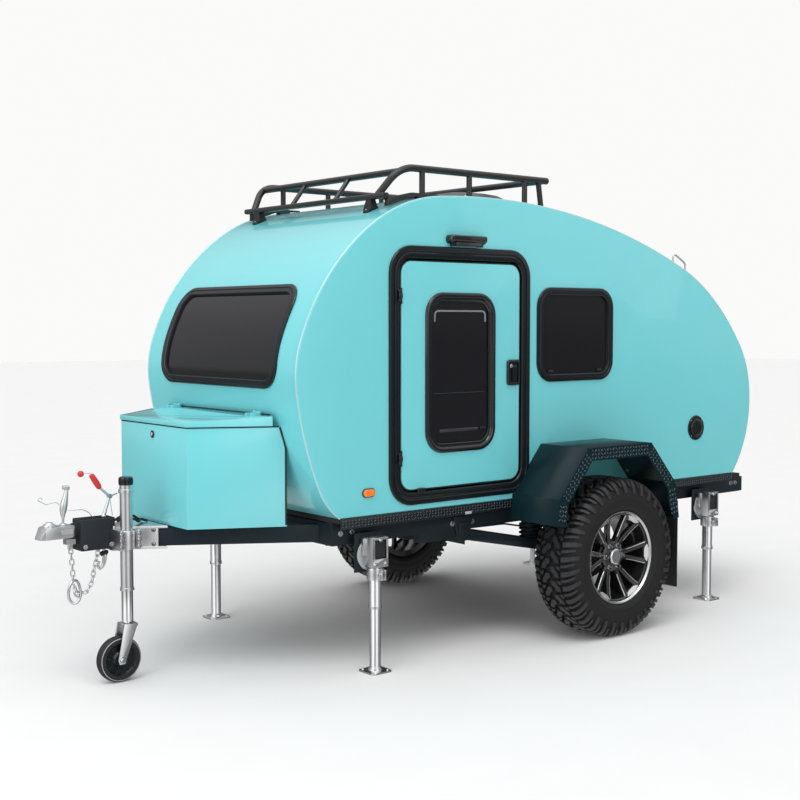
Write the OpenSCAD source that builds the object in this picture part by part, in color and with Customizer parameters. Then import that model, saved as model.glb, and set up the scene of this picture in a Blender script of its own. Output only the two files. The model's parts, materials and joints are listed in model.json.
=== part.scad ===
// Teardrop camping trailer on one axle, parked on its nose wheel and four corner legs.
// X runs towards the hitch, Y to the left side, Z up from the floor. All sizes in millimetres.

/* [Body shell] */
// length of the body from its rearmost to its foremost point
body_length = 3036; // [2600:1:3650]
// width of the body over its side panels
body_width = 1236; // [1050:1:1500]
// height of the body's lower edge above the floor
body_bottom = 663; // [640:1:760]
// thickness of the side, roof, front and tail panels and of the hatch
panel = 25; // [12:1:32]
// height of the textured strip under each side panel
skirt_height = 44; // [30:1:60]
// thickness of the floor panel
floor_thick = 22; // [12:1:30]

/* [Doors and windows] */
// middle of each door, measured forward of the axle
door_x = 757; // [700:1:800]
// width of each door panel
door_width = 705; // [560:1:780]
// height of each door panel
door_height = 987; // [820:1:1040]
// lower edge of each door above the body's lower edge
door_rise = 92; // [85:1:130]
// corner radius of each door
door_corner = 56; // [30:1:90]
// thickness of each door
door_thick = 32; // [20:1:36]
// visible width of the frame round each door
door_frame_width = 61; // [40:1:64]
// how far the door and window frames stand out of the side
frame_proud = 10; // [6:1:14]
// running gap round the doors, the hatch and the box lid
gap = 6; // [5.5:0.5:8]
// width of the window in each door
door_glass_width = 332; // [240:1:400]
// height of the window in each door
door_glass_height = 622; // [400:1:640]
// width of each side window's pane
side_glass_width = 457; // [360:1:520]
// height of each side window's pane
side_glass_height = 374; // [300:1:440]
// width of the front window's pane
front_glass_width = 885; // [640:1:900]
// height of the front window's pane
front_glass_height = 362; // [260:1:400]
// visible width of the window frames
window_frame = 36; // [24:1:50]
// thickness of the panes
glass = 5; // [4:1:8]

/* [Hatch and galley] */
// direction of the roof line at the hatch's upper seam, from level forward
hatch_seam = 201; // [196:0.5:206]
// direction of the roof line at the hatch's lower seam
hatch_foot = 284; // [276:0.5:292]
// distance of the bulkhead behind the axle
bulkhead_back = 545; // [500:1:600]
// thickness of the bulkhead, counter and shelf boards
board = 18; // [12:1:24]
// height of the counter above the body's lower edge
counter_rise = 400; // [330:1:460]
// height of the shelf above the body's lower edge
shelf_rise = 740; // [680:1:800]

/* [Wheels and suspension] */
// outer radius of the road tyres
tyre_radius = 375; // [330:1:400]
// width of the road tyres
tyre_width = 250; // [180:1:260]
// radius of the rims over their flanges
rim_radius = 220.5; // [200:0.5:240]
// distance from the side panel to the tyre's inner face
tyre_gap = 52; // [40:1:80]
// radius of the stub axles
stub_radius = 28; // [22:1:34]
// radial clearance of shafts in their bores
bore_fit = 0.05; // [0.02:0.01:0.1]
// distance from the axle forward to the trailing arms' pivot
arm_length = 700; // [640:1:760]
// height of the trailing arms' pivot above the floor
arm_pivot_z = 515; // [500:1:540]

/* [Chassis and drawbar] */
// height of the chassis rails
rail_height = 100; // [70:1:110]
// width of the chassis rails
rail_width = 50; // [40:1:60]
// distance of the rails' outer faces inside the side panels
rail_inset = 58; // [50:1:90]
// distance from the body's front foot to the tip of the coupler
drawbar_length = 1053; // [960:1:1270]
// height of the drawbar arms
drawbar_height = 76; // [60:1:80]
// width of the drawbar arms
drawbar_width = 50; // [40:1:60]
// angle of each drawbar arm from straight ahead
drawbar_angle = 31.6; // [29:0.1:34]
// distance of the rear bar's face behind the body's rear foot
rear_bar_back = 225; // [180:1:270]

/* [Front box] */
// width of the box's front face
box_front_width = 568; // [480:1:640]
// distance from the body's foot to the box's front face
box_reach = 531; // [440:1:560]
// height of the box up to its lid
box_height = 414; // [340:1:440]
// thickness of the box's walls
box_wall = 6; // [3:1:10]
// thickness of the lid at its front edge
lid_front = 20; // [16:1:30]
// extra height of the lid at its rear edge
lid_rise = 20; // [10:1:30]

/* [Fenders] */
// length of each fender at its feet
fender_length = 856; // [840:1:900]
// height of the fender's top above the axle
fender_rise = 533; // [500:1:560]
// thickness of the fender's plate
fender_plate = 4; // [3:1:8]
// height of the fender's outer lip
fender_lip = 60; // [40:1:70]

/* [Stands] */
// radius of the corner legs' outer tubes
leg_radius = 26.5; // [22:0.5:32]
// distance of the front legs ahead of the axle
front_leg_x = 1272; // [1200:1:1300]
// distance of the rear legs behind the axle
rear_leg_back = 985; // [940:1:1040]
// height of the legs' swivel above the floor
leg_swivel_z = 500; // [480:1:520]
// height of the lower end of the legs' outer tubes
leg_joint_z = 272; // [250:1:290]
// width of the square feet
foot_width = 108; // [80:1:110]
// radius of the nose wheel's outer tube
jockey_radius = 26; // [22:0.5:30]
// radius of the nose wheel
jockey_wheel_radius = 95; // [80:1:100]
// width of the nose wheel
jockey_wheel_width = 48; // [40:1:56]
// trail of the nose wheel from its tube
jockey_trail = 42; // [30:1:50]
// distance of the nose wheel's tube behind the coupler's tip
jockey_back = 347; // [330:1:380]
// distance of the nose wheel's tube left of the middle
jockey_side = 92; // [85:1:110]

/* [Coupler] */
// radius of the ball socket
ball_radius = 25.3; // [23:0.1:26]
// height of the ball's centre above the floor
ball_z = 622; // [610:1:640]

/* [Roof rack] */
// radius of the rack's tubes
rack_tube = 16; // [12:0.5:20]
// height of the rack's top rails above the roof
rack_rise = 112; // [90:1:150]
// length of the rack's top rails
rack_length = 900; // [700:1:1000]
// front end of the rack's top rails ahead of the axle
rack_front = 1060; // [1000:1:1100]

/* [Hidden] */
$fn = 48;
far = 4000;
side = body_width / 2;
inner = side - panel;
nominal = 3036;
k = body_length / nominal;
shell_x = 1434 * k;
shell_heading = 35.5;
shell_arcs = [[310, 31.8], [1592, 14.8], [463, 26.7], [980, 38.1], [742, 28.9], [3663, 27],
  [962, 9.6], [1262, 21.8], [455, 23.1], [601, 53.7]];
arc_step = 1.5;

// direction of the shell at the start of arc i, and the inward direction of a heading
function head(i) = i == 0 ? shell_heading : head(i - 1) + shell_arcs[i - 1][1];
function inward(h) = [-sin(h), cos(h)];
function radius(i) = shell_arcs[i][0] * k;
// centre of arc i: the arcs are tangent, so each centre lies on the last joint's inward line
function middle(i) = i == 0 ? [shell_x, body_bottom] + radius(0) * inward(shell_heading)
  : middle(i - 1) + (radius(i) - radius(i - 1)) * inward(head(i));
function arc_at(h, i = 0) = i >= len(shell_arcs) - 1 || h < head(i + 1) ? i : arc_at(h, i + 1);
// point of the shell where it runs in direction h, set inward by t
function skin(h, t = 0) = middle(arc_at(h)) - (radius(arc_at(h)) - t) * inward(h);
// heading between a and b where the shell reaches the value v on axis i; s is 1 where it grows
function seek(v, i, a, b, s, n = 24) = n == 0 ? (a + b) / 2 : let (m = (a + b) / 2)
  s * (skin(m)[i] - v) < 0 ? seek(v, i, m, b, s, n - 1) : seek(v, i, a, m, s, n - 1);
// the front's X at a height, and the roof's heading over an X
function front_x(z) = skin(seek(z, 1, shell_heading, 175, 1))[0];
function roof_heading(x) = seek(x, 0, 120, 260, -1);
last_heading = head(len(shell_arcs));
tail = skin(last_heading);
crown = skin(180);
nose = skin(90);
// headings from a to b, on a grid shared by every part
function sweep(a, b) = let (p = floor(a / arc_step) + 1, q = ceil(b / arc_step) - 1)
  concat([a], [for (j = [p:q]) j * arc_step], [b]);
function step_of(h) = gap / radius(arc_at(h)) * 180 / PI;
function line(a, b, t) = [for (h = sweep(a, b)) skin(h, t)];
function turned(points) = [for (j = [len(points) - 1:-1:0]) points[j]];
function band(a, b, t0, t1) = concat(line(a, b, t0), turned(line(a, b, t1)));
function outline(t) = line(shell_heading, last_heading, t);
// points of a rounded rectangle round (cx, cy)
function rounded(cx, cy, w, h, r) = [for (q = [0:3]) for (j = [0:6])
  let (a = q * 90 + j * 15, sx = (q == 0 || q == 3) ? 1 : -1, sy = q < 2 ? 1 : -1)
  [cx + sx * (w / 2 - r) + r * cos(a), cy + sy * (h / 2 - r) + r * sin(a)]];
function unit(v) = v / norm(v);
// open line of points moved sideways by d, with mitred corners
function edge_dir(p, i) = unit(p[i + 1] - p[i]);
function miter(a, b, d) = let (na = [-a[1], a[0]], nb = [-b[1], b[0]]) d * (na + nb) / (1 + na * nb);
function moved(p, d) = let (n = len(p) - 1) [for (i = [0:n])
  p[i] + miter(edge_dir(p, max(i - 1, 0)), edge_dir(p, min(i, n - 1)), d)];

axle_z = tyre_radius;
wheel_y = side + tyre_gap + tyre_width / 2;
rail_out = side - rail_inset;
rail_in = rail_out - rail_width;
rail_top = body_bottom - floor_thick;
rail_low = rail_top - rail_height;
hitch_x = shell_x + drawbar_length;
rear_x = tail[0] - rear_bar_back;
mid_x = (hitch_x + rear_x) / 2;

door_cx = door_x * k;
door_w = door_width * k;
door_h = door_height * k;
door_low = body_bottom + door_rise * k;
door_cz = door_low + door_h / 2;
door_hole_w = door_w + 2 * gap;
door_hole_h = door_h + 2 * gap;
door_hole_r = door_corner + gap;
frame_lap = 30;
door_cut_w = door_hole_w + 2 * (door_frame_width - frame_lap);
door_cut_h = door_hole_h + 2 * (door_frame_width - frame_lap);
door_cut_r = door_hole_r + door_frame_width - frame_lap;
door_out_w = door_hole_w + 2 * door_frame_width;
door_out_h = door_hole_h + 2 * door_frame_width;
door_out_r = door_hole_r + door_frame_width - 20;
door_face = side + frame_proud - 4;
hinge_x = door_cx + door_w / 2 + 20;
hinge_y = side + frame_proud + 12;
dglass_x = 770 * k;
dglass_z = body_bottom + 594 * k;
dglass_w = door_glass_width * k;
dglass_h = door_glass_height * k;
sglass_x = 23.5 * k;
sglass_z = body_bottom + 758 * k;
sglass_w = side_glass_width * k;
sglass_h = side_glass_height * k;
fglass_z = body_bottom + 758 * k;
fglass_h = front_glass_height * k;
window_corner = 58;
sleeve = 16;

box_front = shell_x + box_reach;
box_back = shell_x + 166 * k;
box_low = 632;
box_top = box_low + box_height;
flare = 0.51;
lid_pin_z = box_top + lid_front + lid_rise + 16;
lid_pin_x = front_x(lid_pin_z) + 21;

arm_low = 548;
arm_top = arm_low + drawbar_height;
arm_run = tan(drawbar_angle);
arm_foot_y = 470;
apex_x = shell_x + arm_foot_y / arm_run;

// places a part drawn from the axle in the shared frame
module placed() {
  translate([-mid_x, 0, 0]) children();
}

// stands a flat X-Z shape up as a plate from y0 to y1
module plate(y0, y1) {
  translate([0, y1, 0]) rotate([90, 0, 0]) linear_extrude(height = y1 - y0) children();
}

// pushes a flat Y-Z shape along X from x0 to x1
module bar_x(x0, x1) {
  translate([x0, 0, 0]) rotate([90, 0, 90]) linear_extrude(height = x1 - x0) children();
}

module block(x0, x1, y0, y1, z0, z1) {
  translate([x0, y0, z0]) cube([x1 - x0, y1 - y0, z1 - z0]);
}

// round bar of radius r between two points
module rod(a, b, r) {
  d = b - a;
  translate(a) rotate([0, acos(d[2] / norm(d)), atan2(d[1], d[0])]) cylinder(r = r, h = norm(d));
}

module rod_y(x, y0, y1, z, r) {
  translate([x, y0, z]) rotate([-90, 0, 0]) cylinder(r = r, h = y1 - y0);
}

module both_sides() {
  children();
  mirror([0, 1, 0]) children();
}

// box beam between two points, w wide and h high
module beam(a, b, w, h) {
  d = b - a;
  translate(a) rotate([0, -asin(d[2] / norm(d)), atan2(d[1], d[0])])
    translate([0, -w / 2, -h / 2]) cube([norm(d), w, h]);
}

// hinge with its pin along Z at the origin: the moving panel lies towards -X, drop below the pin
module hinge_moving(drop, foot) {
  difference() {
    union() {
      translate([0, 0, -12]) cylinder(r = 8, h = 24);
      block(-62, 0, -6, 0, -12, 12);
      block(-62, -foot, -drop, 0, -12, 12);
    }
    translate([0, 0, -20]) cylinder(r = 4 + bore_fit, h = 40);
  }
}

module hinge_fixed(drop) {
  translate([0, 0, -24]) cylinder(r = 4, h = 48);
  for (z = [-25, 13]) {
    translate([0, 0, z]) cylinder(r = 8, h = 12);
    block(-6, 36, -drop, 0, z, z + 12);
  }
}

hinge_heights = [door_low + 140 * k, door_low + door_h - 150 * k];
module door_hinge_at() {
  for (z = hinge_heights) translate([hinge_x, hinge_y, z]) children();
}

hatch_hinges = [-0.36 * body_width, 0, 0.36 * body_width];
hatch_drop = 14;
module hatch_hinge_at() {
  for (y = hatch_hinges) translate([skin(hatch_seam, -hatch_drop)[0], y, skin(hatch_seam, -hatch_drop)[1]])
    rotate([0, 180 - hatch_seam, 0]) rotate([90, 0, 0]) children();
}

module leg_spots() {
  for (x = [front_leg_x, -rear_leg_back]) translate([x, 0, 0]) children();
}

leg_y = side + 27;
plate_y = side - 22;
swivel_pin = 20;
rail_back = tail[0] - 145;

// rails, crossmembers, rear bar, suspension hangers and leg mounts, welded into one frame
module chassis_frame() {
  placed() color("DarkSlateGray") {
    both_sides() {
      block(rail_back, shell_x, rail_in, rail_out, rail_low, rail_top);
      leg_spots() {
        block(-25, 25, rail_out, plate_y, rail_low, rail_low + 50);
        block(-75, 75, plate_y, plate_y + 6, leg_swivel_z - 75, rail_low + 50);
        rod_y(0, plate_y, plate_y + 15, leg_swivel_z, swivel_pin);
      }
      block(arm_length - 30, arm_length + 30, rail_out, rail_out + 10, arm_pivot_z - 28, rail_low + 30);
      block(arm_length - 30, arm_length + 30, 262, 274, arm_pivot_z - 28, rail_low + 10);
      block(arm_length + 40, arm_length + 250, rail_in, rail_out, rail_low - 40, rail_low);
    }
    for (x = [shell_x - 50, arm_length - 40, -330, rail_back])
      block(x, x + 50, -rail_in, rail_in, rail_low, rail_low + 60);
    block(shell_x - 50, shell_x, -rail_out, rail_out, rail_low, rail_low + 95);
    block(rear_x, rail_back, -518, 518, rail_low - 8, rail_low + 72);
  }
}

function arm_y(x) = (apex_x - x) * arm_run;
arm_thick = drawbar_width / cos(drawbar_angle);
module drawbar() {
  placed() color("DarkSlateGray") {
    translate([0, 0, arm_low]) linear_extrude(height = drawbar_height) union() {
      polygon([[shell_x, arm_y(shell_x)], [shell_x, arm_y(shell_x) - arm_thick],
        [apex_x - arm_thick / arm_run, 0], [apex_x - 70, 0], [apex_x - 70, arm_y(apex_x - 70)]]);
      mirror([0, 1]) polygon([[shell_x, arm_y(shell_x)], [shell_x, arm_y(shell_x) - arm_thick],
        [apex_x - arm_thick / arm_run, 0], [apex_x - 70, 0], [apex_x - 70, arm_y(apex_x - 70)]]);
    }
    for (x = [box_back + 30, box_front - 110])
      block(x, x + 40, -arm_y(x + 40), arm_y(x + 40), arm_top, box_low);
  }
}

module floor_panel() {
  placed() color("DimGray") plate(-side + 6, side - 6)
    polygon([[tail[0], rail_top], [shell_x, rail_top], [shell_x, body_bottom], tail]);
}

module side_panel() {
  difference() {
    plate(inner, side) polygon(outline(0));
    plate(inner - 5, side + 5) polygon(rounded(door_cx, door_cz, door_cut_w, door_cut_h, door_cut_r));
    plate(inner - 5, side + 5)
      polygon(rounded(sglass_x, sglass_z, sglass_w + 2 * sleeve, sglass_h + 2 * sleeve, window_corner + sleeve));
  }
}

module side_panel_left() {
  placed() color("MediumTurquoise") side_panel();
}

module side_panel_right() {
  placed() color("MediumTurquoise") mirror([0, 1, 0]) side_panel();
}

// front and roof in one curved sheet, from the front foot to the hatch's seam
module roof_panel() {
  placed() color("MediumTurquoise") {
    difference() {
      plate(-inner, inner) polygon(band(shell_heading, hatch_seam, 0, panel));
      bar_x(nose[0] - 400 * k, nose[0] + 50)
        polygon(rounded(0, fglass_z, front_glass_width + 2 * sleeve, fglass_h + 2 * sleeve, window_corner + sleeve));
    }
    hatch_hinge_at() hinge_fixed(hatch_drop);
  }
}

module tail_panel() {
  placed() color("MediumTurquoise")
    plate(-inner, inner) polygon(band(hatch_foot + step_of(hatch_foot), last_heading, 0, panel));
}

module galley_hatch() {
  placed() color("MediumTurquoise") {
    plate(-inner + gap, inner - gap)
      polygon(band(hatch_seam + step_of(hatch_seam), hatch_foot, 0, panel));
    hatch_hinge_at() hinge_moving(hatch_drop + 1.5, 13);
  }
}

// bulkhead, counter, shelf and partition behind the cabin
module galley() {
  back = -bulkhead_back;
  placed() color("BurlyWood") {
    plate(-inner, inner) intersection() {
      union() {
        polygon(outline(panel));
        translate([back - board, body_bottom - 4]) square([board, 60]);
      }
      translate([back - board, body_bottom - 4]) square([board, 2000]);
    }
    plate(-inner, inner) intersection() {
      polygon(outline(panel + 2 * gap));
      translate([-far, body_bottom + counter_rise]) square([far + back, board]);
    }
    plate(-inner, inner) intersection() {
      polygon(outline(panel + 2 * gap));
      translate([-far, body_bottom + shelf_rise]) square([far + back, board]);
    }
    plate(-board / 2, board / 2) intersection() {
      polygon(outline(panel + 2 * gap));
      translate([-far, body_bottom]) square([far + back, counter_rise]);
    }
  }
}

module door_frames() {
  placed() color("Black") both_sides() {
    difference() {
      union() {
        plate(side, side + frame_proud) polygon(rounded(door_cx, door_cz, door_out_w, door_out_h, door_out_r));
        plate(inner, side) polygon(rounded(door_cx, door_cz, door_cut_w, door_cut_h, door_cut_r));
      }
      plate(inner - 5, side + frame_proud + 5)
        polygon(rounded(door_cx, door_cz, door_hole_w, door_hole_h, door_hole_r));
    }
    door_hinge_at() hinge_fixed(hinge_y - side - frame_proud);
  }
}

door_back = door_face - door_thick;
latch_x = door_cx - door_w / 2 + 44;
latch_z = door_low + 494 * k;
module door() {
  difference() {
    plate(door_back, door_face) polygon(rounded(door_cx, door_cz, door_w, door_h, door_corner));
    plate(door_back - 5, door_face + 5)
      polygon(rounded(dglass_x, dglass_z, dglass_w + 2 * sleeve, dglass_h + 2 * sleeve, window_corner + sleeve));
  }
  plate(door_face, door_face + 12) polygon(rounded(latch_x, latch_z, 80, 120, 12));
  door_hinge_at() hinge_moving(hinge_y - door_face, 28);
}

module door_left() {
  placed() color("MediumTurquoise") door();
}

module door_right() {
  placed() color("MediumTurquoise") mirror([0, 1, 0]) door();
}

module door_window() {
  difference() {
    union() {
      plate(door_face, door_face + 8)
        polygon(rounded(dglass_x, dglass_z, dglass_w + 2 * window_frame, dglass_h + 2 * window_frame, window_corner + 30));
      plate(door_back, door_face)
        polygon(rounded(dglass_x, dglass_z, dglass_w + 2 * sleeve, dglass_h + 2 * sleeve, window_corner + sleeve));
    }
    plate(door_back - 5, door_face + 15) polygon(rounded(dglass_x, dglass_z, dglass_w, dglass_h, window_corner));
  }
}

module door_window_left() {
  placed() color("Black") door_window();
}

module door_window_right() {
  placed() color("Black") mirror([0, 1, 0]) door_window();
}

module door_glass() {
  plate(door_face - 10, door_face - 10 + glass) polygon(rounded(dglass_x, dglass_z, dglass_w, dglass_h, window_corner));
}

module door_glass_left() {
  placed() color("SlateGray") door_glass();
}

module door_glass_right() {
  placed() color("SlateGray") mirror([0, 1, 0]) door_glass();
}

module front_prism(w, h, r) {
  bar_x(nose[0] - 260 * k, nose[0] + 60) polygon(rounded(0, fglass_z, w, h, r));
}

front_a = 66;
front_b = 140;
module window_frames() {
  placed() color("Black") {
    both_sides() difference() {
      union() {
        plate(side, side + frame_proud)
          polygon(rounded(sglass_x, sglass_z, sglass_w + 2 * window_frame, sglass_h + 2 * window_frame, window_corner + 30));
        plate(inner, side)
          polygon(rounded(sglass_x, sglass_z, sglass_w + 2 * sleeve, sglass_h + 2 * sleeve, window_corner + sleeve));
      }
      plate(inner - 5, side + 15) polygon(rounded(sglass_x, sglass_z, sglass_w, sglass_h, window_corner));
    }
    difference() {
      union() {
        intersection() {
          plate(-far, far) polygon(band(front_a, front_b, -12, 0));
          front_prism(front_glass_width + 2 * window_frame, fglass_h + 2 * window_frame, window_corner + 30);
        }
        intersection() {
          plate(-far, far) polygon(band(front_a, front_b, 0, panel));
          front_prism(front_glass_width + 2 * sleeve, fglass_h + 2 * sleeve, window_corner + sleeve);
        }
      }
      front_prism(front_glass_width, fglass_h, window_corner);
    }
  }
}

module window_panes() {
  placed() color("SlateGray") {
    both_sides() plate(side - 10, side - 10 + glass)
      polygon(rounded(sglass_x, sglass_z, sglass_w, sglass_h, window_corner));
    intersection() {
      plate(-far, far) polygon(band(front_a, front_b, 4, 4 + glass));
      front_prism(front_glass_width, fglass_h, window_corner);
    }
  }
}

skirt_out = side + 3;
skirt_low = body_bottom - 2 - skirt_height;
module skirt_trims() {
  placed() color("DimGray") both_sides() plate(side - 6, skirt_out)
    polygon([[tail[0], skirt_low], [shell_x, skirt_low], [shell_x, body_bottom - 0.3], tail - [0, 0.3]]);
}

fender_out = wheel_y + tyre_width / 2;
fender_mid = 28;
fender_top = axle_z + fender_rise;
fender_line = [[fender_mid + fender_length / 2, fender_top - 339], [fender_mid + fender_length / 2 - 17, fender_top - 220],
  [fender_mid + 226, fender_top], [fender_mid - 216, fender_top],
  [fender_mid - fender_length / 2 + 30, fender_top - 204], [fender_mid - fender_length / 2, fender_top - 378]];
module fender_band(t) {
  polygon(concat(fender_line, turned(moved(fender_line, t))));
}

module fenders() {
  placed() color("DarkSlateGray") both_sides() difference() {
    union() {
      plate(side, fender_out) fender_band(fender_plate);
      plate(fender_out - 6, fender_out) fender_band(fender_lip);
    }
    rod_y(0, side - 5, fender_out + 5, axle_z, tyre_radius + 20);
    block(-far, far, side - 10, skirt_out, skirt_low - 1, body_bottom);
    plate(side - 5, side + frame_proud + 1)
      polygon(rounded(door_cx, door_cz, door_out_w + 2, door_out_h + 2, door_out_r + 1));
  }
}

flap_x = fender_line[5][0] - 60;
module mudflaps() {
  placed() color("Black") both_sides() {
    block(flap_x, flap_x + 6, rail_out, side + 80, rail_low + 20, rail_low + 60);
    block(flap_x, flap_x + 6, side + 80, fender_out - 55, 170, rail_low + 60);
  }
}

rack_y = side - 78;
rack_z = crown[1] + rack_rise;
rack_nose = rack_front * k;
rack_back = (rack_front - rack_length) * k;
// uprights behind the rail's front end, as shares of its length
rack_posts = [0.15, 0.46, 0.85, 0.95];
bar_heading = 157.5;
// height of the front bar's middle line over the skin
bar_rise = rack_tube + 37;
bar_point = skin(bar_heading, -bar_rise);
post_tube = rack_tube - 2;
bar_y = rack_y - 100;
module rack_pad(h, y) {
  translate([skin(h)[0], y, skin(h)[1]]) rotate([0, 180 - h, 0]) cylinder(r = 27, h = 9);
}

module roof_rack() {
  placed() color("Black") {
    both_sides() {
      rod([rack_back, rack_y, rack_z], [rack_nose, rack_y, rack_z], rack_tube);
      rod([rack_nose, rack_y, rack_z], [bar_point[0], bar_y, bar_point[1]], rack_tube);
      translate([rack_nose, rack_y, rack_z]) sphere(r = rack_tube + 2);
      translate([rack_back, rack_y, rack_z]) sphere(r = rack_tube + 2);
      translate([bar_point[0], bar_y, bar_point[1]]) sphere(r = rack_tube + 2);
      for (q = rack_posts) let (h = roof_heading(rack_nose + q * (rack_back - rack_nose))) {
        rod([skin(h)[0], rack_y, skin(h)[1] + 4], [skin(h)[0], rack_y, rack_z], post_tube);
        rack_pad(h, rack_y);
      }
      rod([skin(bar_heading)[0], bar_y - 60, skin(bar_heading)[1]],
        [bar_point[0], bar_y - 60, bar_point[1]], post_tube);
      rack_pad(bar_heading, bar_y - 60);
    }
    rod_y(rack_back, -rack_y, rack_y, rack_z, rack_tube);
    rod_y(rack_nose, -rack_y, rack_y, rack_z, rack_tube);
    rod_y(bar_point[0], -bar_y, bar_y, bar_point[1], rack_tube);
  }
}

vent_x = 215 * k;
fairing_x = vent_x + 212;
fairing_z = crown[1] + 38;
module roof_vent() {
  placed() color("DimGray") difference() {
    union() {
      plate(-190, 190) polygon([[fairing_x, crown[1] - 60], [fairing_x + 275, crown[1] - 60],
        [fairing_x + 275, crown[1] - 4], [fairing_x + 170, fairing_z], [fairing_x, fairing_z]]);
      translate([vent_x, 0, crown[1] - 60]) linear_extrude(height = 92) polygon(rounded(0, 0, 400, 400, 40));
      translate([vent_x, 0, crown[1] + 30]) linear_extrude(height = 60) polygon(rounded(0, 0, 350, 350, 50));
    }
    plate(-far, far) polygon(outline(0));
  }
}

function box_plan(w) = let (f = box_front - w, b = box_back - 200, s = box_front_width / 2 - 1.12 * w)
  [[f, -s], [f, s], [b, s + flare * (f - b)], [b, -s - flare * (f - b)]];
// the box's solid set in by w all round, with its back on the body's curve
module box_solid(w, z0, z1) {
  difference() {
    translate([0, 0, z0]) linear_extrude(height = z1 - z0) polygon(box_plan(w));
    plate(-far, far) polygon(outline(-4 - w));
    block(-far, box_back + w, -far, far, z0 - 5, z1 + 5);
  }
}

lid_low = box_top + gap;
lid_spots = [-0.27 * body_width, 0.27 * body_width];
module front_box() {
  placed() color("MediumTurquoise") {
    difference() {
      box_solid(0, box_low, box_top);
      box_solid(box_wall, box_low + box_wall, box_top + 20);
    }
    for (y = lid_spots) {
      block(front_x(box_top - 24) + 6, lid_pin_x - gap, y - 12, y + 12, box_top - 24, box_top);
      block(lid_pin_x - gap - 10, lid_pin_x - gap, y - 12, y + 12, box_top - 24, lid_pin_z + 5);
      block(lid_pin_x - gap - 10, lid_pin_x, y - 12, y + 12, lid_pin_z - 5, lid_pin_z + 5);
      rod_y(lid_pin_x, y - 24, y + 24, lid_pin_z, 4);
    }
  }
}

module lid_solid(w, low) {
  intersection() {
    translate([0, 0, low]) linear_extrude(height = 200) polygon(box_plan(w - 4));
    plate(-far, far) polygon([[box_front + 4 - w, low], [box_front + 4 - w, lid_low + lid_front - w],
      [lid_pin_x + w, lid_low + lid_front + lid_rise - w], [lid_pin_x + w, low]]);
  }
}

module front_box_lid() {
  lid_back_z = lid_low + lid_front + lid_rise;
  placed() color("MediumTurquoise") {
    difference() {
      lid_solid(0, lid_low);
      lid_solid(box_wall, lid_low - 1);
    }
    for (y = lid_spots) for (e = [-25, 13]) difference() {
      union() {
        rod_y(lid_pin_x, y + e, y + e + 12, lid_pin_z, 8);
        block(lid_pin_x, lid_pin_x + 45, y + e, y + e + 12, lid_back_z - 6, lid_pin_z);
      }
      rod_y(lid_pin_x, y + e - 5, y + e + 20, lid_pin_z, 4 + bore_fit);
    }
  }
}

arm_y_out = rail_out - 25;
arm_deep = 2 * (rail_low - arm_pivot_z) - 6;
module trailing_arms() {
  placed() color("DarkSlateGray") both_sides() {
    rod_y(arm_length, 274, rail_out, arm_pivot_z, 22);
    beam([arm_length, arm_y_out - 4, arm_pivot_z], [0, side - 18, axle_z], 46, arm_deep);
    beam([arm_length, 310, arm_pivot_z], [40, side - 30, axle_z + 8], 40, arm_deep);
    block(-50, 50, side - 45, side + 22, axle_z - 50, axle_z + 50);
    rod_y(0, side + 20, side + 32, axle_z, 118);
    rod_y(0, side + 20, wheel_y + 20, axle_z, stub_radius);
    rod([235, arm_y_out, axle_z + 45], [235, arm_y_out, rail_low], 38);
  }
}

// places a wheel piece drawn with its axle along Z and its outer side up
module on_axle() {
  placed() translate([0, wheel_y, axle_z]) rotate([-90, 0, 0]) children();
}

module on_axle_right() {
  placed() mirror([0, 1, 0]) translate([0, wheel_y, axle_z]) rotate([-90, 0, 0]) children();
}

drum_in = -tyre_width / 2 - tyre_gap + 38;
rim_seat = 38;
module hub() {
  difference() {
    union() {
      translate([0, 0, drum_in]) cylinder(r = 122, h = 58);
      translate([0, 0, drum_in]) cylinder(r = 44, h = rim_seat - drum_in);
      translate([0, 0, rim_seat - 12]) cylinder(r = 80, h = 12);
    }
    translate([0, 0, drum_in - 5]) cylinder(r = stub_radius + bore_fit, h = 27 - drum_in);
  }
}

module hub_left() {
  color("DimGray") on_axle() hub();
}

module hub_right() {
  color("DimGray") on_axle_right() hub();
}

bead = tyre_width / 2 - 27;
bead_radius = rim_radius - 15.5;
module rim() {
  rotate_extrude() polygon([[bead_radius - 8, -bead], [bead_radius - 8, bead], [bead_radius, bead + 2],
    [rim_radius - 1, bead + 8], [rim_radius, bead + 5], [rim_radius, bead + 1], [bead_radius, bead],
    [bead_radius, -bead], [rim_radius, -bead - 1], [rim_radius, -bead - 5], [rim_radius - 1, -bead - 8],
    [bead_radius, -bead - 2]]);
  difference() {
    translate([0, 0, rim_seat]) cylinder(r = bead_radius - 5, h = 22);
    for (a = [0:60:300]) rotate([0, 0, a]) translate([140, -34, rim_seat - 1]) cube([40, 68, 24]);
  }
  translate([0, 0, rim_seat + 20]) cylinder(r = 46, h = 16);
}

module rim_left() {
  color("Gray") on_axle() rim();
}

module rim_right() {
  color("Gray") on_axle_right() rim();
}

wall_high = tyre_radius - rim_radius;
tyre_half = [[bead_radius, 0], [bead_radius, bead - 0.5], [rim_radius + 0.5, bead + 0.5],
  [rim_radius + 1, bead + 9], [rim_radius + 0.155 * wall_high, tyre_width / 2 - 7],
  [rim_radius + 0.45 * wall_high, tyre_width / 2], [rim_radius + 0.645 * wall_high, tyre_width / 2 - 2],
  [rim_radius + 0.838 * wall_high, tyre_width / 2 - 12], [tyre_radius - 0.045 * wall_high, tyre_width / 2 - 26],
  [tyre_radius, tyre_width / 2 - 48]];
module tyre() {
  rotate_extrude() polygon(concat([for (j = [1:9]) tyre_half[j]], [for (j = [9:-1:1]) [tyre_half[j][0], -tyre_half[j][1]]]));
}

module tyre_left() {
  color("Black") on_axle() tyre();
}

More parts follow.
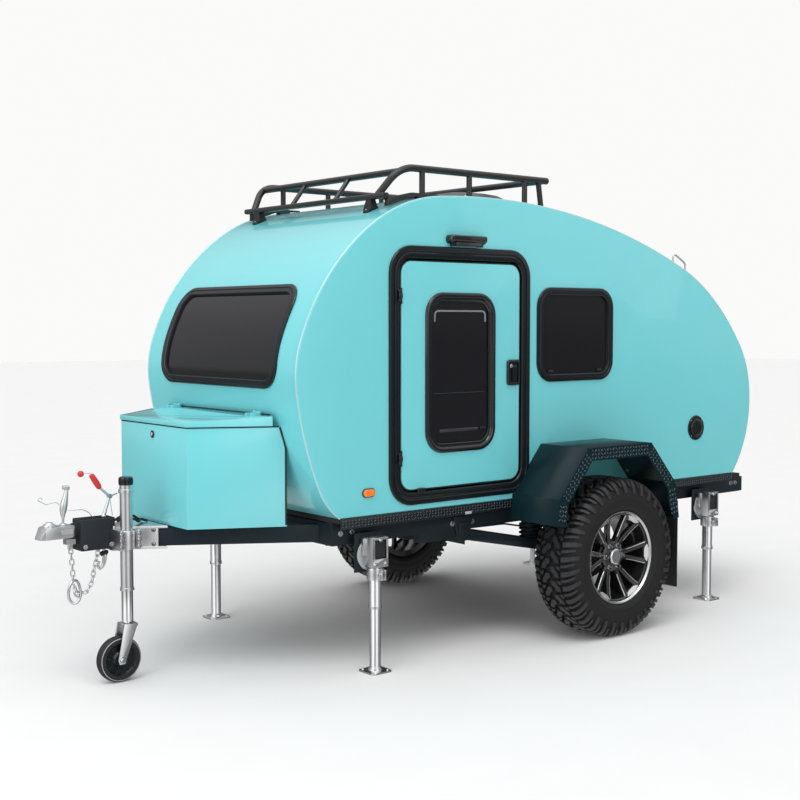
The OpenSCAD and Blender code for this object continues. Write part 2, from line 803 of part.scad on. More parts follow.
module tyre_right() {
  color("Black") on_axle_right() tyre();
}

leg_inner = leg_radius - 3;
leg_slot_top = 558;
// outer tube with its swivel disc, drawn at the origin's X and on the left side
module leg_outer() {
  difference() {
    union() {
      translate([0, leg_y, leg_joint_z]) cylinder(r = leg_radius, h = leg_slot_top + 18 - leg_joint_z);
      translate([0, leg_y, leg_joint_z]) cylinder(r = leg_radius + 3, h = 14);
      rod_y(0, plate_y + 11, plate_y + 18, leg_swivel_z, 70);
      block(-20, 20, plate_y + 17, leg_y, leg_swivel_z - 50, leg_swivel_z + 50);
    }
    translate([0, leg_y, leg_joint_z - 5]) cylinder(r = leg_inner + bore_fit, h = leg_slot_top + 5 - leg_joint_z);
    rod_y(0, plate_y, plate_y + 16, leg_swivel_z, swivel_pin + bore_fit);
  }
}

module leg_foot() {
  translate([0, leg_y, 6]) cylinder(r = leg_inner, h = leg_joint_z + 54);
  translate([0, leg_y, 6]) cylinder(r = leg_inner + 6, h = 12);
  translate([0, leg_y, 0]) linear_extrude(height = 8) polygon(rounded(0, 0, foot_width, foot_width, 18));
}

module leg_front_left() {
  color("Silver") placed() translate([front_leg_x, 0, 0]) leg_outer();
}

module leg_front_right() {
  color("Silver") placed() translate([front_leg_x, 0, 0]) mirror([0, 1, 0]) leg_outer();
}

module leg_rear_left() {
  color("Silver") placed() translate([-rear_leg_back, 0, 0]) leg_outer();
}

module leg_rear_right() {
  color("Silver") placed() translate([-rear_leg_back, 0, 0]) mirror([0, 1, 0]) leg_outer();
}

module foot_front_left() {
  color("Silver") placed() translate([front_leg_x, 0, 0]) leg_foot();
}

module foot_front_right() {
  color("Silver") placed() translate([front_leg_x, 0, 0]) mirror([0, 1, 0]) leg_foot();
}

module foot_rear_left() {
  color("Silver") placed() translate([-rear_leg_back, 0, 0]) leg_foot();
}

module foot_rear_right() {
  color("Silver") placed() translate([-rear_leg_back, 0, 0]) mirror([0, 1, 0]) leg_foot();
}

ball_x = hitch_x - 46;
head_low = ball_z - 14;
head_top = ball_z + 34;
head_back = hitch_x - 148;
// half plan of the head, back to front
head_plan = [[head_back, 29], [hitch_x - 98, 32], [hitch_x - 78, 38], [hitch_x - 22, 38], [hitch_x, 24]];
module coupler_head() {
  placed() color("Silver") difference() {
    union() {
      intersection() {
        translate([0, 0, head_low]) linear_extrude(height = head_top - head_low)
          polygon(concat(head_plan, turned([for (q = head_plan) [q[0], -q[1]]])));
        plate(-60, 60) polygon([[head_back, head_low + 6], [hitch_x - 140, head_low], [hitch_x, head_low],
          [hitch_x - 5, head_low + 12], [hitch_x - 26, head_top], [head_back, head_top]]);
      }
      translate([ball_x - 6, 0, head_top]) cylinder(r = 25, h = 9);
      translate([ball_x - 6, 0, head_top + 9]) cylinder(r1 = 19, r2 = 14, h = 9);
    }
    translate([ball_x, 0, ball_z]) sphere(r = ball_radius);
    translate([ball_x, 0, ball_z - 30]) cylinder(r = ball_radius, h = 30);
  }
}

jockey_x = hitch_x - jockey_back;
house_back = hitch_x - 323;
house_front = hitch_x - 170;
// overrun housing, bellows, mounting plates and the nose wheel's clamp
module coupler_body() {
  placed() color("DimGray") difference() {
    union() {
      block(house_back, house_front, -45, 45, arm_low, ball_z + 54);
      rod([house_front - 2, 0, ball_z + 6], [head_back, 0, ball_z + 6], 33);
      for (z = [arm_low - 10, arm_top]) translate([0, 0, z]) linear_extrude(height = 10)
        polygon([[house_back + 10, -45], [house_back + 10, 45], [apex_x - 75, 62], [apex_x - 220, 145],
          [apex_x - 220, -145], [apex_x - 75, -62]]);
      block(house_back - 60, house_back + 10, -45, 45, arm_low, arm_top);
      translate([jockey_x, jockey_side, arm_low]) cylinder(r = jockey_radius + 9, h = drawbar_height);
      block(jockey_x - 22, jockey_x + 22, 20, jockey_side, arm_low, arm_top);
    }
    translate([jockey_x, jockey_side, arm_low - 50]) cylinder(r = jockey_radius, h = 300);
    block(house_back - 90, apex_x - 69, -200, 61, arm_low, arm_top);
  }
}

module bent_rod(p, r) {
  for (j = [0:len(p) - 2]) rod(p[j], p[j + 1], r);
  for (j = [0:len(p) - 1]) translate(p[j]) sphere(r = r + 1.5);
}

lever_z = ball_z + 54;
// handbrake lever with its grip, and the coupling handle
module coupler_levers() {
  placed() color("FireBrick") {
    translate([hitch_x - 291, 0, lever_z]) cylinder(r = 11, h = 6);
    bent_rod([[hitch_x - 291, 0, lever_z + 9], [hitch_x - 319, 0, ball_z + 137],
      [hitch_x - 272, 0, ball_z + 178]], 7);
    rod([hitch_x - 274, 0, ball_z + 176], [hitch_x - 238, 0, ball_z + 232], 13);
    translate([hitch_x - 112, 0, head_top]) cylinder(r = 14, h = 8);
    bent_rod([[hitch_x - 112, 0, head_top + 14], [hitch_x - 112, 0, ball_z + 95],
      [hitch_x - 132, 0, ball_z + 196]], 9);
  }
}

jockey_inner = jockey_radius - 2.5;
jockey_low = 375;
slide_low = 245;
stem = 12;
module jockey_tube() {
  placed() color("Silver") translate([jockey_x, jockey_side, 0]) difference() {
    union() {
      translate([0, 0, jockey_low]) cylinder(r = jockey_radius, h = 471);
      translate([0, 0, jockey_low]) cylinder(r = jockey_radius + 3, h = 12);
      translate([0, 0, 780]) cylinder(r = jockey_radius + 5, h = 15);
      translate([0, 0, 804]) cylinder(r = jockey_radius + 3, h = 42);
    }
    translate([0, 0, jockey_low - 5]) cylinder(r = jockey_inner + bore_fit, h = 400);
  }
}

module jockey_slide() {
  placed() color("Silver") translate([jockey_x, jockey_side, slide_low]) difference() {
    cylinder(r = jockey_inner, h = 360);
    translate([0, 0, -5]) cylinder(r = stem + bore_fit, h = 50);
  }
}

cheek = jockey_wheel_width / 2 + 5.5;
module jockey_fork() {
  placed() color("Silver") translate([jockey_x, jockey_side, 0]) {
    translate([0, 0, slide_low - 8]) cylinder(r = stem, h = 48);
    translate([0, 0, slide_low - 17]) cylinder(r = cheek + 3, h = 12);
    for (s = [0, 1]) mirror([0, s, 0]) plate(cheek, cheek + 4)
      polygon([[-30, slide_low - 5], [30, slide_low - 5], [jockey_trail + 18, jockey_wheel_radius],
        [jockey_trail + 12, jockey_wheel_radius - 18], [jockey_trail - 12, jockey_wheel_radius - 18],
        [jockey_trail - 18, jockey_wheel_radius]]);
    block(-30, 30, -cheek - 4, cheek + 4, slide_low - 17, slide_low - 5);
    rod_y(jockey_trail, -cheek - 9, cheek + 9, jockey_wheel_radius, 8);
  }
}

module jockey_wheel() {
  r = jockey_wheel_radius;
  w = jockey_wheel_width / 2;
  placed() color("Black") translate([jockey_x + jockey_trail, jockey_side, r]) rotate([-90, 0, 0])
    rotate_extrude() polygon([[8 + bore_fit, -w], [26, -w], [28, -w + 5], [r - 30, -w + 5], [r - 26, -w],
      [r - 10, -w], [r - 3, -w + 6], [r, -w + 14], [r, w - 14], [r - 3, w - 6], [r - 10, w], [r - 26, w],
      [r - 30, w - 5], [28, w - 5], [26, w], [8 + bore_fit, w]]);
}

module porch_lamps() {
  placed() color("Black") both_sides() plate(side, side + 42)
    polygon(rounded(door_cx - 14, door_cz + door_out_h / 2 + 34, 221, 46, 20));
}

module marker_lamps() {
  placed() color("Orange") both_sides() {
    plate(side, side + 12) polygon(rounded(shell_x - 148, body_bottom + 98, 67, 38, 18));
    plate(inner - 150, inner - 40) polygon(band(290, 303, -16, 0));
  }
}

module side_ports() {
  placed() color("Black") both_sides() rod_y(-909 * k, side, side + 14, body_bottom + 259 * k, 65);
}

chassis_frame();
drawbar();
floor_panel();
side_panel_left();
side_panel_right();
roof_panel();
tail_panel();
galley_hatch();
galley();
door_frames();
door_left();
door_right();
door_window_left();
door_window_right();
door_glass_left();
door_glass_right();
window_frames();
window_panes();
skirt_trims();
fenders();
mudflaps();
roof_rack();
roof_vent();
front_box();
front_box_lid();
trailing_arms();
hub_left();
hub_right();
rim_left();
rim_right();
tyre_left();
tyre_right();
leg_front_left();
leg_front_right();
leg_rear_left();
leg_rear_right();
foot_front_left();
foot_front_right();
foot_rear_left();
foot_rear_right();
coupler_head();
coupler_body();
coupler_levers();
jockey_tube();
jockey_slide();
jockey_fork();
jockey_wheel();
porch_lamps();
marker_lamps();
side_ports();
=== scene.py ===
"""Teardrop camping trailer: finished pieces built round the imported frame."""

import json
import logging
import math
from collections.abc import Callable, Sequence
from dataclasses import dataclass, field
from enum import Enum

import bmesh
import bpy
from mathutils import Matrix, Vector
from mathutils.geometry import delaunay_2d_cdt

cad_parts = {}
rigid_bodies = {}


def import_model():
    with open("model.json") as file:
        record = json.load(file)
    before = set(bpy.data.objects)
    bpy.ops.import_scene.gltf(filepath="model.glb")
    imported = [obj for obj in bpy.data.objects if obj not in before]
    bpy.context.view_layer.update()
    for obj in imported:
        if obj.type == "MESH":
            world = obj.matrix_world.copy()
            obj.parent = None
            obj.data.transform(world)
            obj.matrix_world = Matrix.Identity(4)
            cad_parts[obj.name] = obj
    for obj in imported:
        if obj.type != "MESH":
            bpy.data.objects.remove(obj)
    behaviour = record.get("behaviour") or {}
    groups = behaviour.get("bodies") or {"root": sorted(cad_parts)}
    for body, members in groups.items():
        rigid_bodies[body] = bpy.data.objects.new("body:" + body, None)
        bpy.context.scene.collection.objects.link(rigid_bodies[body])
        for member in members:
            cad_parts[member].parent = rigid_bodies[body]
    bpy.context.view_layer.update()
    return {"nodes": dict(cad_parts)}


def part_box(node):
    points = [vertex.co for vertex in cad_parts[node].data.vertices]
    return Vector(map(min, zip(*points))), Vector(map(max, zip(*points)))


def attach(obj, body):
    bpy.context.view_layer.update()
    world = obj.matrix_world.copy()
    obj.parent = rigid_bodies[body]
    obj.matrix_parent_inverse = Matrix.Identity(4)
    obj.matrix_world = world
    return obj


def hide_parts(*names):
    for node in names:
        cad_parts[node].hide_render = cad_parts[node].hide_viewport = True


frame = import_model()
LOG = logging.getLogger("trailer")

# Lengths are in metres and angles in degrees, unless a name says otherwise.
SHARP = 32.0
WELD = 1e-5
CAD_WELD = 2e-5
CAD_FLATNESS = 0.6
COAT_ROUGHNESS = 0.04
BROAD_SCALE, BROAD_DETAIL = 3.1, 5.0
RAMP_STOPS = (0.12, 0.42)
WEAR_LOW, WEAR_HIGH = 0.25, 0.75
BUMP_DISTANCE = 0.0006

Flat = tuple[float, float]
Loop = list[Flat]
Tone = tuple[float, float, float]
Spot = tuple[float, float, float]
Section = Sequence[tuple[float, float, int]]
Placing = Callable[[float, float, float], Sequence[float]]

AXLE_X = sum(corner.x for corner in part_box("tyre_left")) / 2


class Side(Enum):
    """The trailer's two long sides, by the sign of Y."""

    LEFT = 1.0
    RIGHT = -1.0

    @property
    def word(self) -> str:
        """The word that node and body names use for this side."""
        return self.name.lower()


SIGNS = tuple(side.value for side in Side)


# ---------------------------------------------------------------- finishes


class Grain(Enum):
    """How the fine surface of a finish is broken up."""

    PEEL = "orange peel of sprayed paint"
    POWDER = "powder coat"
    MOULDED = "moulded grain"
    BRUSHED = "brushed metal"
    CAST = "sand cast"
    RUBBER = "rubber bloom"
    PLY = "plywood veneer"
    CLOTH = "lining fabric"


@dataclass(frozen=True)
class GrainRule:
    """Numbers behind one grain."""

    scale: float
    depth: float
    spread: float
    stretch: Tone = (1.0, 1.0, 1.0)
    detail: float = 4.0


GRAINS: dict[Grain, GrainRule] = {
    Grain.PEEL: GrainRule(260.0, 0.012, 0.03),
    Grain.POWDER: GrainRule(900.0, 0.1, 0.1),
    Grain.MOULDED: GrainRule(1400.0, 0.08, 0.12),
    Grain.BRUSHED: GrainRule(420.0, 0.02, 0.1, (1.0, 1.0, 0.06)),
    Grain.CAST: GrainRule(520.0, 0.16, 0.14),
    Grain.RUBBER: GrainRule(340.0, 0.1, 0.22),
    Grain.PLY: GrainRule(28.0, 0.04, 0.55, (1.0, 0.9, 12.0)),
    Grain.CLOTH: GrainRule(700.0, 0.12, 0.15),
}


def feed(node: bpy.types.Node, **values: object) -> None:
    """Sets a node's sockets; each key is the socket's name with _ for a space."""
    for key, value in values.items():
        node.inputs[key.replace("_", " ")].default_value = value


@dataclass(frozen=True)
class Finish:
    """One surface finish, made as a node material when first used."""

    name: str
    tone: Tone
    rough: float
    grain: Grain
    metal: float = 0.0
    coat: float = 0.0
    clear: float = 0.0
    glow: float = 0.0
    dust: float = 0.12
    shine: float = 0.5

    def material(self) -> bpy.types.Material:
        """Makes the material, or gives the one already made.

        Returns:
            The material.
        """
        # The frame brings materials named after the record's slots, so no finish may share their names.
        found = bpy.data.materials.get(self.name)
        if found:
            return found
        made = bpy.data.materials.new(self.name)
        made.use_nodes = True
        made.diffuse_color = (*self.tone, 1.0)
        nodes, links = made.node_tree.nodes, made.node_tree.links
        shader = nodes["Principled BSDF"]
        feed(shader, Metallic=self.metal, Coat_Weight=self.coat, Coat_Roughness=COAT_ROUGHNESS)
        feed(shader, Transmission_Weight=self.clear, Specular_IOR_Level=self.shine)
        if self.glow:
            feed(shader, Emission_Color=(*self.tone, 1.0), Emission_Strength=self.glow)
        rule = GRAINS[self.grain]
        place = nodes.new("ShaderNodeTexCoord")
        turn = nodes.new("ShaderNodeMapping")
        feed(turn, Scale=rule.stretch)
        links.new(place.outputs["Object"], turn.inputs["Vector"])
        fine = nodes.new("ShaderNodeTexNoise")
        feed(fine, Scale=rule.scale, Detail=rule.detail)
        broad = nodes.new("ShaderNodeTexNoise")
        feed(broad, Scale=BROAD_SCALE, Detail=BROAD_DETAIL)
        links.new(turn.outputs["Vector"], fine.inputs["Vector"])
        links.new(place.outputs["Object"], broad.inputs["Vector"])
        mixed = nodes.new("ShaderNodeMath")
        mixed.operation = "MULTIPLY"
        links.new(fine.outputs["Fac"], mixed.inputs[0])
        links.new(broad.outputs["Fac"], mixed.inputs[1])
        ramp = nodes.new("ShaderNodeValToRGB")
        low, high = 1.0 - rule.spread * 0.5, 1.0 + rule.spread * 0.5
        for stop, place_at, share in zip(ramp.color_ramp.elements, RAMP_STOPS, (low, high)):
            stop.position = place_at
            stop.color = (*(min(c * share, 1.0) for c in self.tone), 1.0)
        links.new(mixed.outputs[0], ramp.inputs["Fac"])
        links.new(ramp.outputs["Color"], shader.inputs["Base Color"])
        wear = nodes.new("ShaderNodeMapRange")
        feed(wear, From_Min=WEAR_LOW, From_Max=WEAR_HIGH)
        feed(wear, To_Min=max(self.rough - self.dust * 0.5, 0.0), To_Max=min(self.rough + self.dust * 0.5, 1.0))
        links.new(broad.outputs["Fac"], wear.inputs["Value"])
        links.new(wear.outputs["Result"], shader.inputs["Roughness"])
        bump = nodes.new("ShaderNodeBump")
        feed(bump, Strength=min(rule.depth * 2.0, 1.0), Distance=BUMP_DISTANCE)
        links.new(fine.outputs["Fac"], bump.inputs["Height"])
        links.new(bump.outputs["Normal"], shader.inputs["Normal"])
        return made


PAINT = Finish("turquoise_paint", (0.165, 0.63, 0.672), 0.3, Grain.PEEL, coat=0.9, dust=0.04)
LINING = Finish("cabin_lining", (0.42, 0.4, 0.36), 0.85, Grain.CLOTH)
LIT_PIPING = Finish("edge_piping", (0.45, 0.72, 0.73), 0.3, Grain.BRUSHED, metal=0.35, coat=0.4)
# Edge trim whose pale turquoise tone is partly the trim's own and partly a painted highlight along the body's edges.
SLATE = Finish("slate_coat", (0.01, 0.018, 0.024), 0.46, Grain.POWDER, shine=0.22)
FENDER = Finish("fender_coat", (0.005, 0.02, 0.025), 0.26, Grain.POWDER, dust=0.0, shine=0.1)
# The raised lozenges are paler and more metallic than the dark coats they stand on.
LOZENGE = Finish("worn_lozenge", (0.12, 0.135, 0.15), 0.34, Grain.POWDER, metal=0.4, shine=0.3)
UNDER = Finish("underbody_black", (0.012, 0.012, 0.013), 0.7, Grain.CAST)
TRIM = Finish("trim_moulding", (0.004, 0.008, 0.011), 0.2, Grain.MOULDED, dust=0.06, shine=0.5)
GLOSS = Finish("gloss_black", (0.004, 0.006, 0.009), 0.15, Grain.PEEL, coat=0.4, dust=0.05, shine=0.5)
# A pale tone for the round bar under the door pane's top edge: the bar stands for the sliding pane's edge, and its
# paleness is a painted highlight.
PAINTED_HIGHLIGHT = Finish("pearl_line", (0.22, 0.23, 0.25), 0.25, Grain.PEEL, coat=0.3)
SMOKE = Finish("smoked_lens", (0.03, 0.033, 0.037), 0.16, Grain.PEEL, coat=0.4, dust=0.04)
SEAL = Finish("seal_rubber", (0.01, 0.01, 0.011), 0.62, Grain.RUBBER)
GLASS = Finish("dark_glass", (0.01, 0.01, 0.013), 0.03, Grain.PEEL, clear=0.06, dust=0.02, shine=0.45)
RACK = Finish("rack_satin_black", (0.012, 0.012, 0.013), 0.33, Grain.POWDER, coat=0.2)
VENT = Finish("vent_plastic", (0.085, 0.088, 0.095), 0.55, Grain.MOULDED)
TYRE = Finish("tyre_rubber", (0.009, 0.009, 0.01), 0.6, Grain.RUBBER, dust=0.2, shine=0.35)
# The tread blocks take the tyre's rubber painted lighter: painted light on the tread's tops.
LIT_TREAD = Finish("tread_rubber", (0.021, 0.021, 0.023), 0.5, Grain.RUBBER, dust=0.2)
RIM = Finish("rim_black", (0.01, 0.01, 0.011), 0.22, Grain.PEEL, coat=0.5, dust=0.08)
MACHINED = Finish("machined_alloy", (0.78, 0.78, 0.79), 0.26, Grain.BRUSHED, metal=1.0)
CHROME = Finish("chrome", (0.86, 0.86, 0.87), 0.1, Grain.PEEL, metal=1.0, dust=0.05)
ZINC = Finish("bright_zinc", (0.72, 0.73, 0.74), 0.3, Grain.BRUSHED, metal=1.0, dust=0.1)
CAST = Finish("silver_casting", (0.66, 0.67, 0.68), 0.34, Grain.CAST, metal=0.85)
IRON = Finish("drum_iron", (0.09, 0.09, 0.095), 0.55, Grain.CAST, metal=0.8)
HOUSING = Finish("housing_coat", (0.014, 0.018, 0.023), 0.5, Grain.CAST, shine=0.3)
RED = Finish("red_grip", (0.62, 0.018, 0.022), 0.32, Grain.MOULDED, coat=0.3)
AMBER = Finish("amber_lens", (0.9, 0.2, 0.015), 0.16, Grain.PEEL, coat=0.8, glow=0.1, dust=0.04)
RUBY = Finish("red_lens", (0.55, 0.012, 0.014), 0.16, Grain.PEEL, coat=0.8, glow=0.06, dust=0.04)
OPAL = Finish("opal_lens", (0.4, 0.43, 0.45), 0.22, Grain.PEEL, coat=0.6, dust=0.04)
BIRCH = Finish("birch_ply", (0.6, 0.43, 0.25), 0.42, Grain.PLY, coat=0.25)


# ---------------------------------------------------------------- mesh tools


class Shape:
    """A mesh being gathered: points, faces and each face's finish."""

    def __init__(self, *finishes: Finish) -> None:
        """Starts an empty shape.

        Args:
            *finishes: The finishes that its faces pick from, by their order.
        """
        self.finishes = finishes
        self.points: list[Vector] = []
        self.faces: list[tuple[int, ...]] = []
        self.picks: list[int] = []

    def loop(self, points: Sequence[Sequence[float]]) -> list[int]:
        """Adds points and gives their numbers."""
        start = len(self.points)
        self.points.extend(Vector(p) for p in points)
        return list(range(start, len(self.points)))

    def face(self, ring: Sequence[int], pick: int = 0) -> None:
        """Adds one face over numbered points."""
        self.faces.append(tuple(ring))
        self.picks.append(pick)

    def bridge(self, a: Sequence[int], b: Sequence[int], pick: int = 0, closed: bool = True) -> None:
        """Joins two rows of points with four-sided faces.

        Args:
            a: The first row.
            b: The second row, as long as the first.
            pick: Which finish the faces take.
            closed: Whether the rows run round on themselves.
        """
        last = len(a) if closed else len(a) - 1
        for i in range(last):
            j = (i + 1) % len(a)
            self.face((a[i], a[j], b[j], b[i]), pick)

    def loft(
        self, rows: Sequence[Sequence[Sequence[float]]], picks: Sequence[int] | int = 0, closed: bool = True
    ) -> list[list[int]]:
        """Joins several rows of points one after another.

        Args:
            rows: The rows, all of one length.
            picks: One finish for all the bands, or one for each.
            closed: Whether each row runs round on itself.

        Returns:
            The numbers of each row's points.
        """
        made = [self.loop(row) for row in rows]
        for i in range(len(made) - 1):
            pick = picks if isinstance(picks, int) else picks[i]
            self.bridge(made[i], made[i + 1], pick, closed)
        return made

    def cap(
        self,
        outer: Loop,
        holes: Sequence[Loop],
        place: Callable[[float, float], Sequence[float]],
        pick: int = 0,
        lines: Sequence[tuple[Flat, Flat]] = (),
    ) -> None:
        """Fills a flat outline that may have holes.

        Args:
            outer: The outline.
            holes: The outlines left open.
            place: Turns a flat point into a place in the trailer's frame.
            pick: Which finish the faces take.
            lines: Further lines that the faces keep to.
        """
        points: list[Vector] = []
        edges: list[tuple[int, int]] = []
        for ring in (outer, *holes):
            start = len(points)
            points.extend(Vector(p) for p in ring)
            edges.extend((start + i, start + (i + 1) % len(ring)) for i in range(len(ring)))
        for a, b in lines:
            edges.append((len(points), len(points) + 1))
            points.extend((Vector(a), Vector(b)))
        verts, _, faces, *_ = delaunay_2d_cdt(points, edges, [], 0, 1e-6)
        numbers = self.loop([place(v.x, v.y) for v in verts])
        for tri in faces:
            middle = sum((verts[i] for i in tri), Vector((0.0, 0.0))) / len(tri)
            if inside(middle, outer) and not any(inside(middle, hole) for hole in holes):
                self.face([numbers[i] for i in tri], pick)

    def block(self, low: Sequence[float], high: Sequence[float], pick: int = 0) -> None:
        """Adds a six-sided block between two corners."""
        x0, y0, z0 = low
        x1, y1, z1 = high
        self.loft_solid([[(x0, y0, z), (x1, y0, z), (x1, y1, z), (x0, y1, z)] for z in (z0, z1)], pick)

    def side_block(self, side: float, x: Flat, out: Flat, z: Flat, pick: int = 0) -> None:
        """Adds a block on the long side of the given sign, measured outwards."""
        low, high = sorted((side * out[0], side * out[1]))
        self.block((x[0], low, z[0]), (x[1], high, z[1]), pick)

    def loft_solid(self, rows: Sequence[Sequence[Sequence[float]]], pick: int = 0) -> None:
        """Adds a closed solid through rows of points, with flat ends."""
        made = self.loft(rows, pick)
        self.face(list(reversed(made[0])), pick)
        self.face(made[-1], pick)

    def domed(self, rows: Sequence[Sequence[Sequence[float]]], picks: Sequence[int] | int = 0, top: int = 0) -> None:
        """Joins rows of points and closes the last one with a flat face."""
        self.face(self.loft(rows, picks)[-1], top)

    def sweep(self, section: Section, ring: Callable[[float], Loop], put: Placing) -> None:
        """Sweeps a closed section round an opening.

        Args:
            section: Growth, height and finish at each point of the section.
            ring: Gives the opening's outline for a growth.
            put: Places a point of the outline at a height.
        """
        rows = tiers(put, ring, [(grow, height) for grow, height, _ in section])
        self.loft([*rows, rows[0]], [pick for *_, pick in section])

    def lathe(
        self,
        profile: Sequence[Flat],
        place: Matrix,
        steps: int = 48,
        picks: Sequence[int] | int = 0,
        ends: bool = True,
    ) -> None:
        """Turns a profile about an axis.

        Args:
            profile: Pairs of radius and height along the axis.
            place: Where the axis stands; the axis is its Z.
            steps: Sides round the turn.
            picks: One finish, or one for each band.
            ends: Whether flat ends close it; a profile that comes back to its start has none.
        """
        rows = []
        for radius, height in profile:
            rows.append([place @ Vector(on_circle(a, radius, height)) for a in turns(steps)])
        made = self.loft(rows, picks)
        if not ends or tuple(profile[0]) == tuple(profile[-1]):
            return
        first = picks if isinstance(picks, int) else picks[0]
        last = picks if isinstance(picks, int) else picks[-1]
        if profile[0][0] > WELD:
            self.face(list(reversed(made[0])), first)
        if profile[-1][0] > WELD:
            self.face(made[-1], last)

    def tube(
        self,
        path: Sequence[Sequence[float]],
        radius: float | Sequence[float],
        steps: int = 16,
        pick: int = 0,
        closed: bool = False,
    ) -> None:
        """Sweeps a round bar along a path.

        Args:
            path: The points of the path.
            radius: One radius, or one at each point.
            steps: Sides round the bar.
            pick: Which finish the faces take.
            closed: Whether the path runs back to its start.
        """
        points = [Vector(p) for p in path]
        count = len(points)
        sizes = [radius] * count if isinstance(radius, (int, float)) else list(radius)
        ahead = []
        for i in range(count):
            a = points[i - 1] if closed or i else points[i]
            b = points[(i + 1) % count] if closed or i < count - 1 else points[i]
            ahead.append((b - a).normalized())
        up = Vector((0, 0, 1)) if abs(ahead[0].z) < 0.9 else Vector((1, 0, 0))
        rows = []
        for point, way, size in zip(points, ahead, sizes):
            across = way.cross(up).normalized()
            up = across.cross(way).normalized()
            rows.append([point + (across * math.cos(a) + up * math.sin(a)) * size for a in turns(steps)])
        if closed:
            made = self.loft(rows, pick)
            self.bridge(made[-1], made[0], pick)
        else:
            self.loft_solid(rows, pick)

    def build(self, name: str, sharp: float = SHARP, bevel: float = 0.0) -> bpy.types.Object:
        """Makes the object.

        Args:
            name: The piece's name.
            sharp: Edges turned further than this, in degrees, stay sharp.
            bevel: The width of the rounding on sharp edges, in metres.

        Returns:
            The object, at the origin.
        """
        mesh = bpy.data.meshes.new(name)
        mesh.from_pydata(self.points, [], self.faces)
        for finish in self.finishes:
            mesh.materials.append(finish.material())
        mesh.polygons.foreach_set("material_index", self.picks)
        work = bmesh.new()
        work.from_mesh(mesh)
        bmesh.ops.remove_doubles(work, verts=work.verts, dist=WELD)
        bmesh.ops.dissolve_degenerate(work, edges=work.edges, dist=1e-6)
        bmesh.ops.delete(work, geom=[v for v in work.verts if not v.link_faces], context="VERTS")
        bmesh.ops.recalc_face_normals(work, faces=work.faces)
        work.to_mesh(mesh)
        work.free()
        piece = bpy.data.objects.new(name, mesh)
        bpy.context.scene.collection.objects.link(piece)
        return finished(piece, sharp, bevel)


def finished(piece: bpy.types.Object, sharp: float = SHARP, bevel: float = 0.0) -> bpy.types.Object:
    """Rounds a piece's sharp edges and shades the rest smooth.

    Args:
        piece: The object.
        sharp: Edges turned further than this, in degrees, stay sharp.
        bevel: The width of the rounding, in metres.

    Returns:
        The same object with its modifier made real.
    """
    if bevel > 0:
        rounding = piece.modifiers.new("rounding", "BEVEL")
        rounding.width = bevel
        rounding.segments = 2
        rounding.limit_method = "ANGLE"
        rounding.angle_limit = math.radians(sharp)
        piece.data = plain_mesh(piece)
        piece.modifiers.clear()
    mesh = piece.data
    mesh.shade_smooth()
    mesh.set_sharp_from_angle(angle=math.radians(sharp))
    return piece


def plain_mesh(piece: bpy.types.Object) -> bpy.types.Mesh:
    """Gives the mesh of an object with its modifiers made real."""
    graph = bpy.context.evaluated_depsgraph_get()
    made = bpy.data.meshes.new_from_object(piece.evaluated_get(graph), depsgraph=graph)
    made.name = piece.name
    return made


def inside(point: Vector, ring: Loop) -> bool:
    """Tells whether a flat point lies within an outline.

    Args:
        point: The point.
        ring: The outline.

    Returns:
        True where the point is inside.
    """
    hit = False
    for (ax, ay), (bx, by) in zip(ring, ring[1:] + ring[:1]):
        if (ay > point.y) != (by > point.y) and point.x < (bx - ax) * (point.y - ay) / (by - ay) + ax:
            hit = not hit
    return hit


def rounded(
    cx: float,
    cz: float,
    width: float,
    height: float,
    radius: float,
    grow: float = 0.0,
    steps: int = 8,
    straight: int = 1,
) -> Loop:
    """Gives a rectangle with rounded corners.

    Args:
        cx: The middle, first axis.
        cz: The middle, second axis.
        width: The full width.
        height: The full height.
        radius: The corner radius.
        grow: How far the outline is moved outwards.
        steps: Steps in each corner.
        straight: Steps along each straight side.

    Returns:
        The outline, always with the same number of points for the same steps.
    """
    radius = max(radius + grow, 0.0005)
    w, h = width / 2 + grow - radius, height / 2 + grow - radius
    ring = []
    for corner, (sx, sz) in enumerate(((1, -1), (1, 1), (-1, 1), (-1, -1))):
        for i in range(steps + 1):
            a = math.radians(-90 + 90 * corner + 90 * i / steps)
            ring.append((cx + sx * w + radius * math.cos(a), cz + sz * h + radius * math.sin(a)))
        tx, tz = ((1, 1), (-1, 1), (-1, -1), (1, -1))[corner]
        a = math.radians(90 * corner)
        goal = (cx + tx * w + radius * math.cos(a), cz + tz * h + radius * math.sin(a))
        last = ring[-1]
        ring.extend(
            (last[0] + (goal[0] - last[0]) * i / straight, last[1] + (goal[1] - last[1]) * i / straight)
            for i in range(1, straight)
        )
    return ring


def filleted(points: Sequence[Sequence[float]], radius: float, steps: int = 8) -> list[Vector]:
    """Rounds the corners of an open path.

    Args:
        points: The path's corners.
        radius: The bend's radius.
        steps: Points in each bend.

    Returns:
        The rounded path.
    """
    corners = [Vector(p) for p in points]
    path = [corners[0]]
    for a, b, c in zip(corners, corners[1:], corners[2:]):
        back, on = (a - b).normalized(), (c - b).normalized()
        half = back.angle(on) / 2
        cut = min(radius / math.tan(half), (a - b).length * 0.48, (c - b).length * 0.48)
        p, q = b + back * cut, b + on * cut
        for i in range(steps + 1):
            t = i / steps
            path.append(p * (1 - t) ** 2 + b * 2 * t * (1 - t) + q * t * t)
    path.append(corners[-1])
    return path


def on_circle(angle: float, radius: float, height: float) -> Spot:
    """Gives the point at an angle, in radians, on a circle about the Z axis."""
    return radius * math.cos(angle), radius * math.sin(angle), height


def turns(count: int) -> list[float]:
    """Equal turns round a circle, in radians."""
    return [math.tau * i / count for i in range(count)]


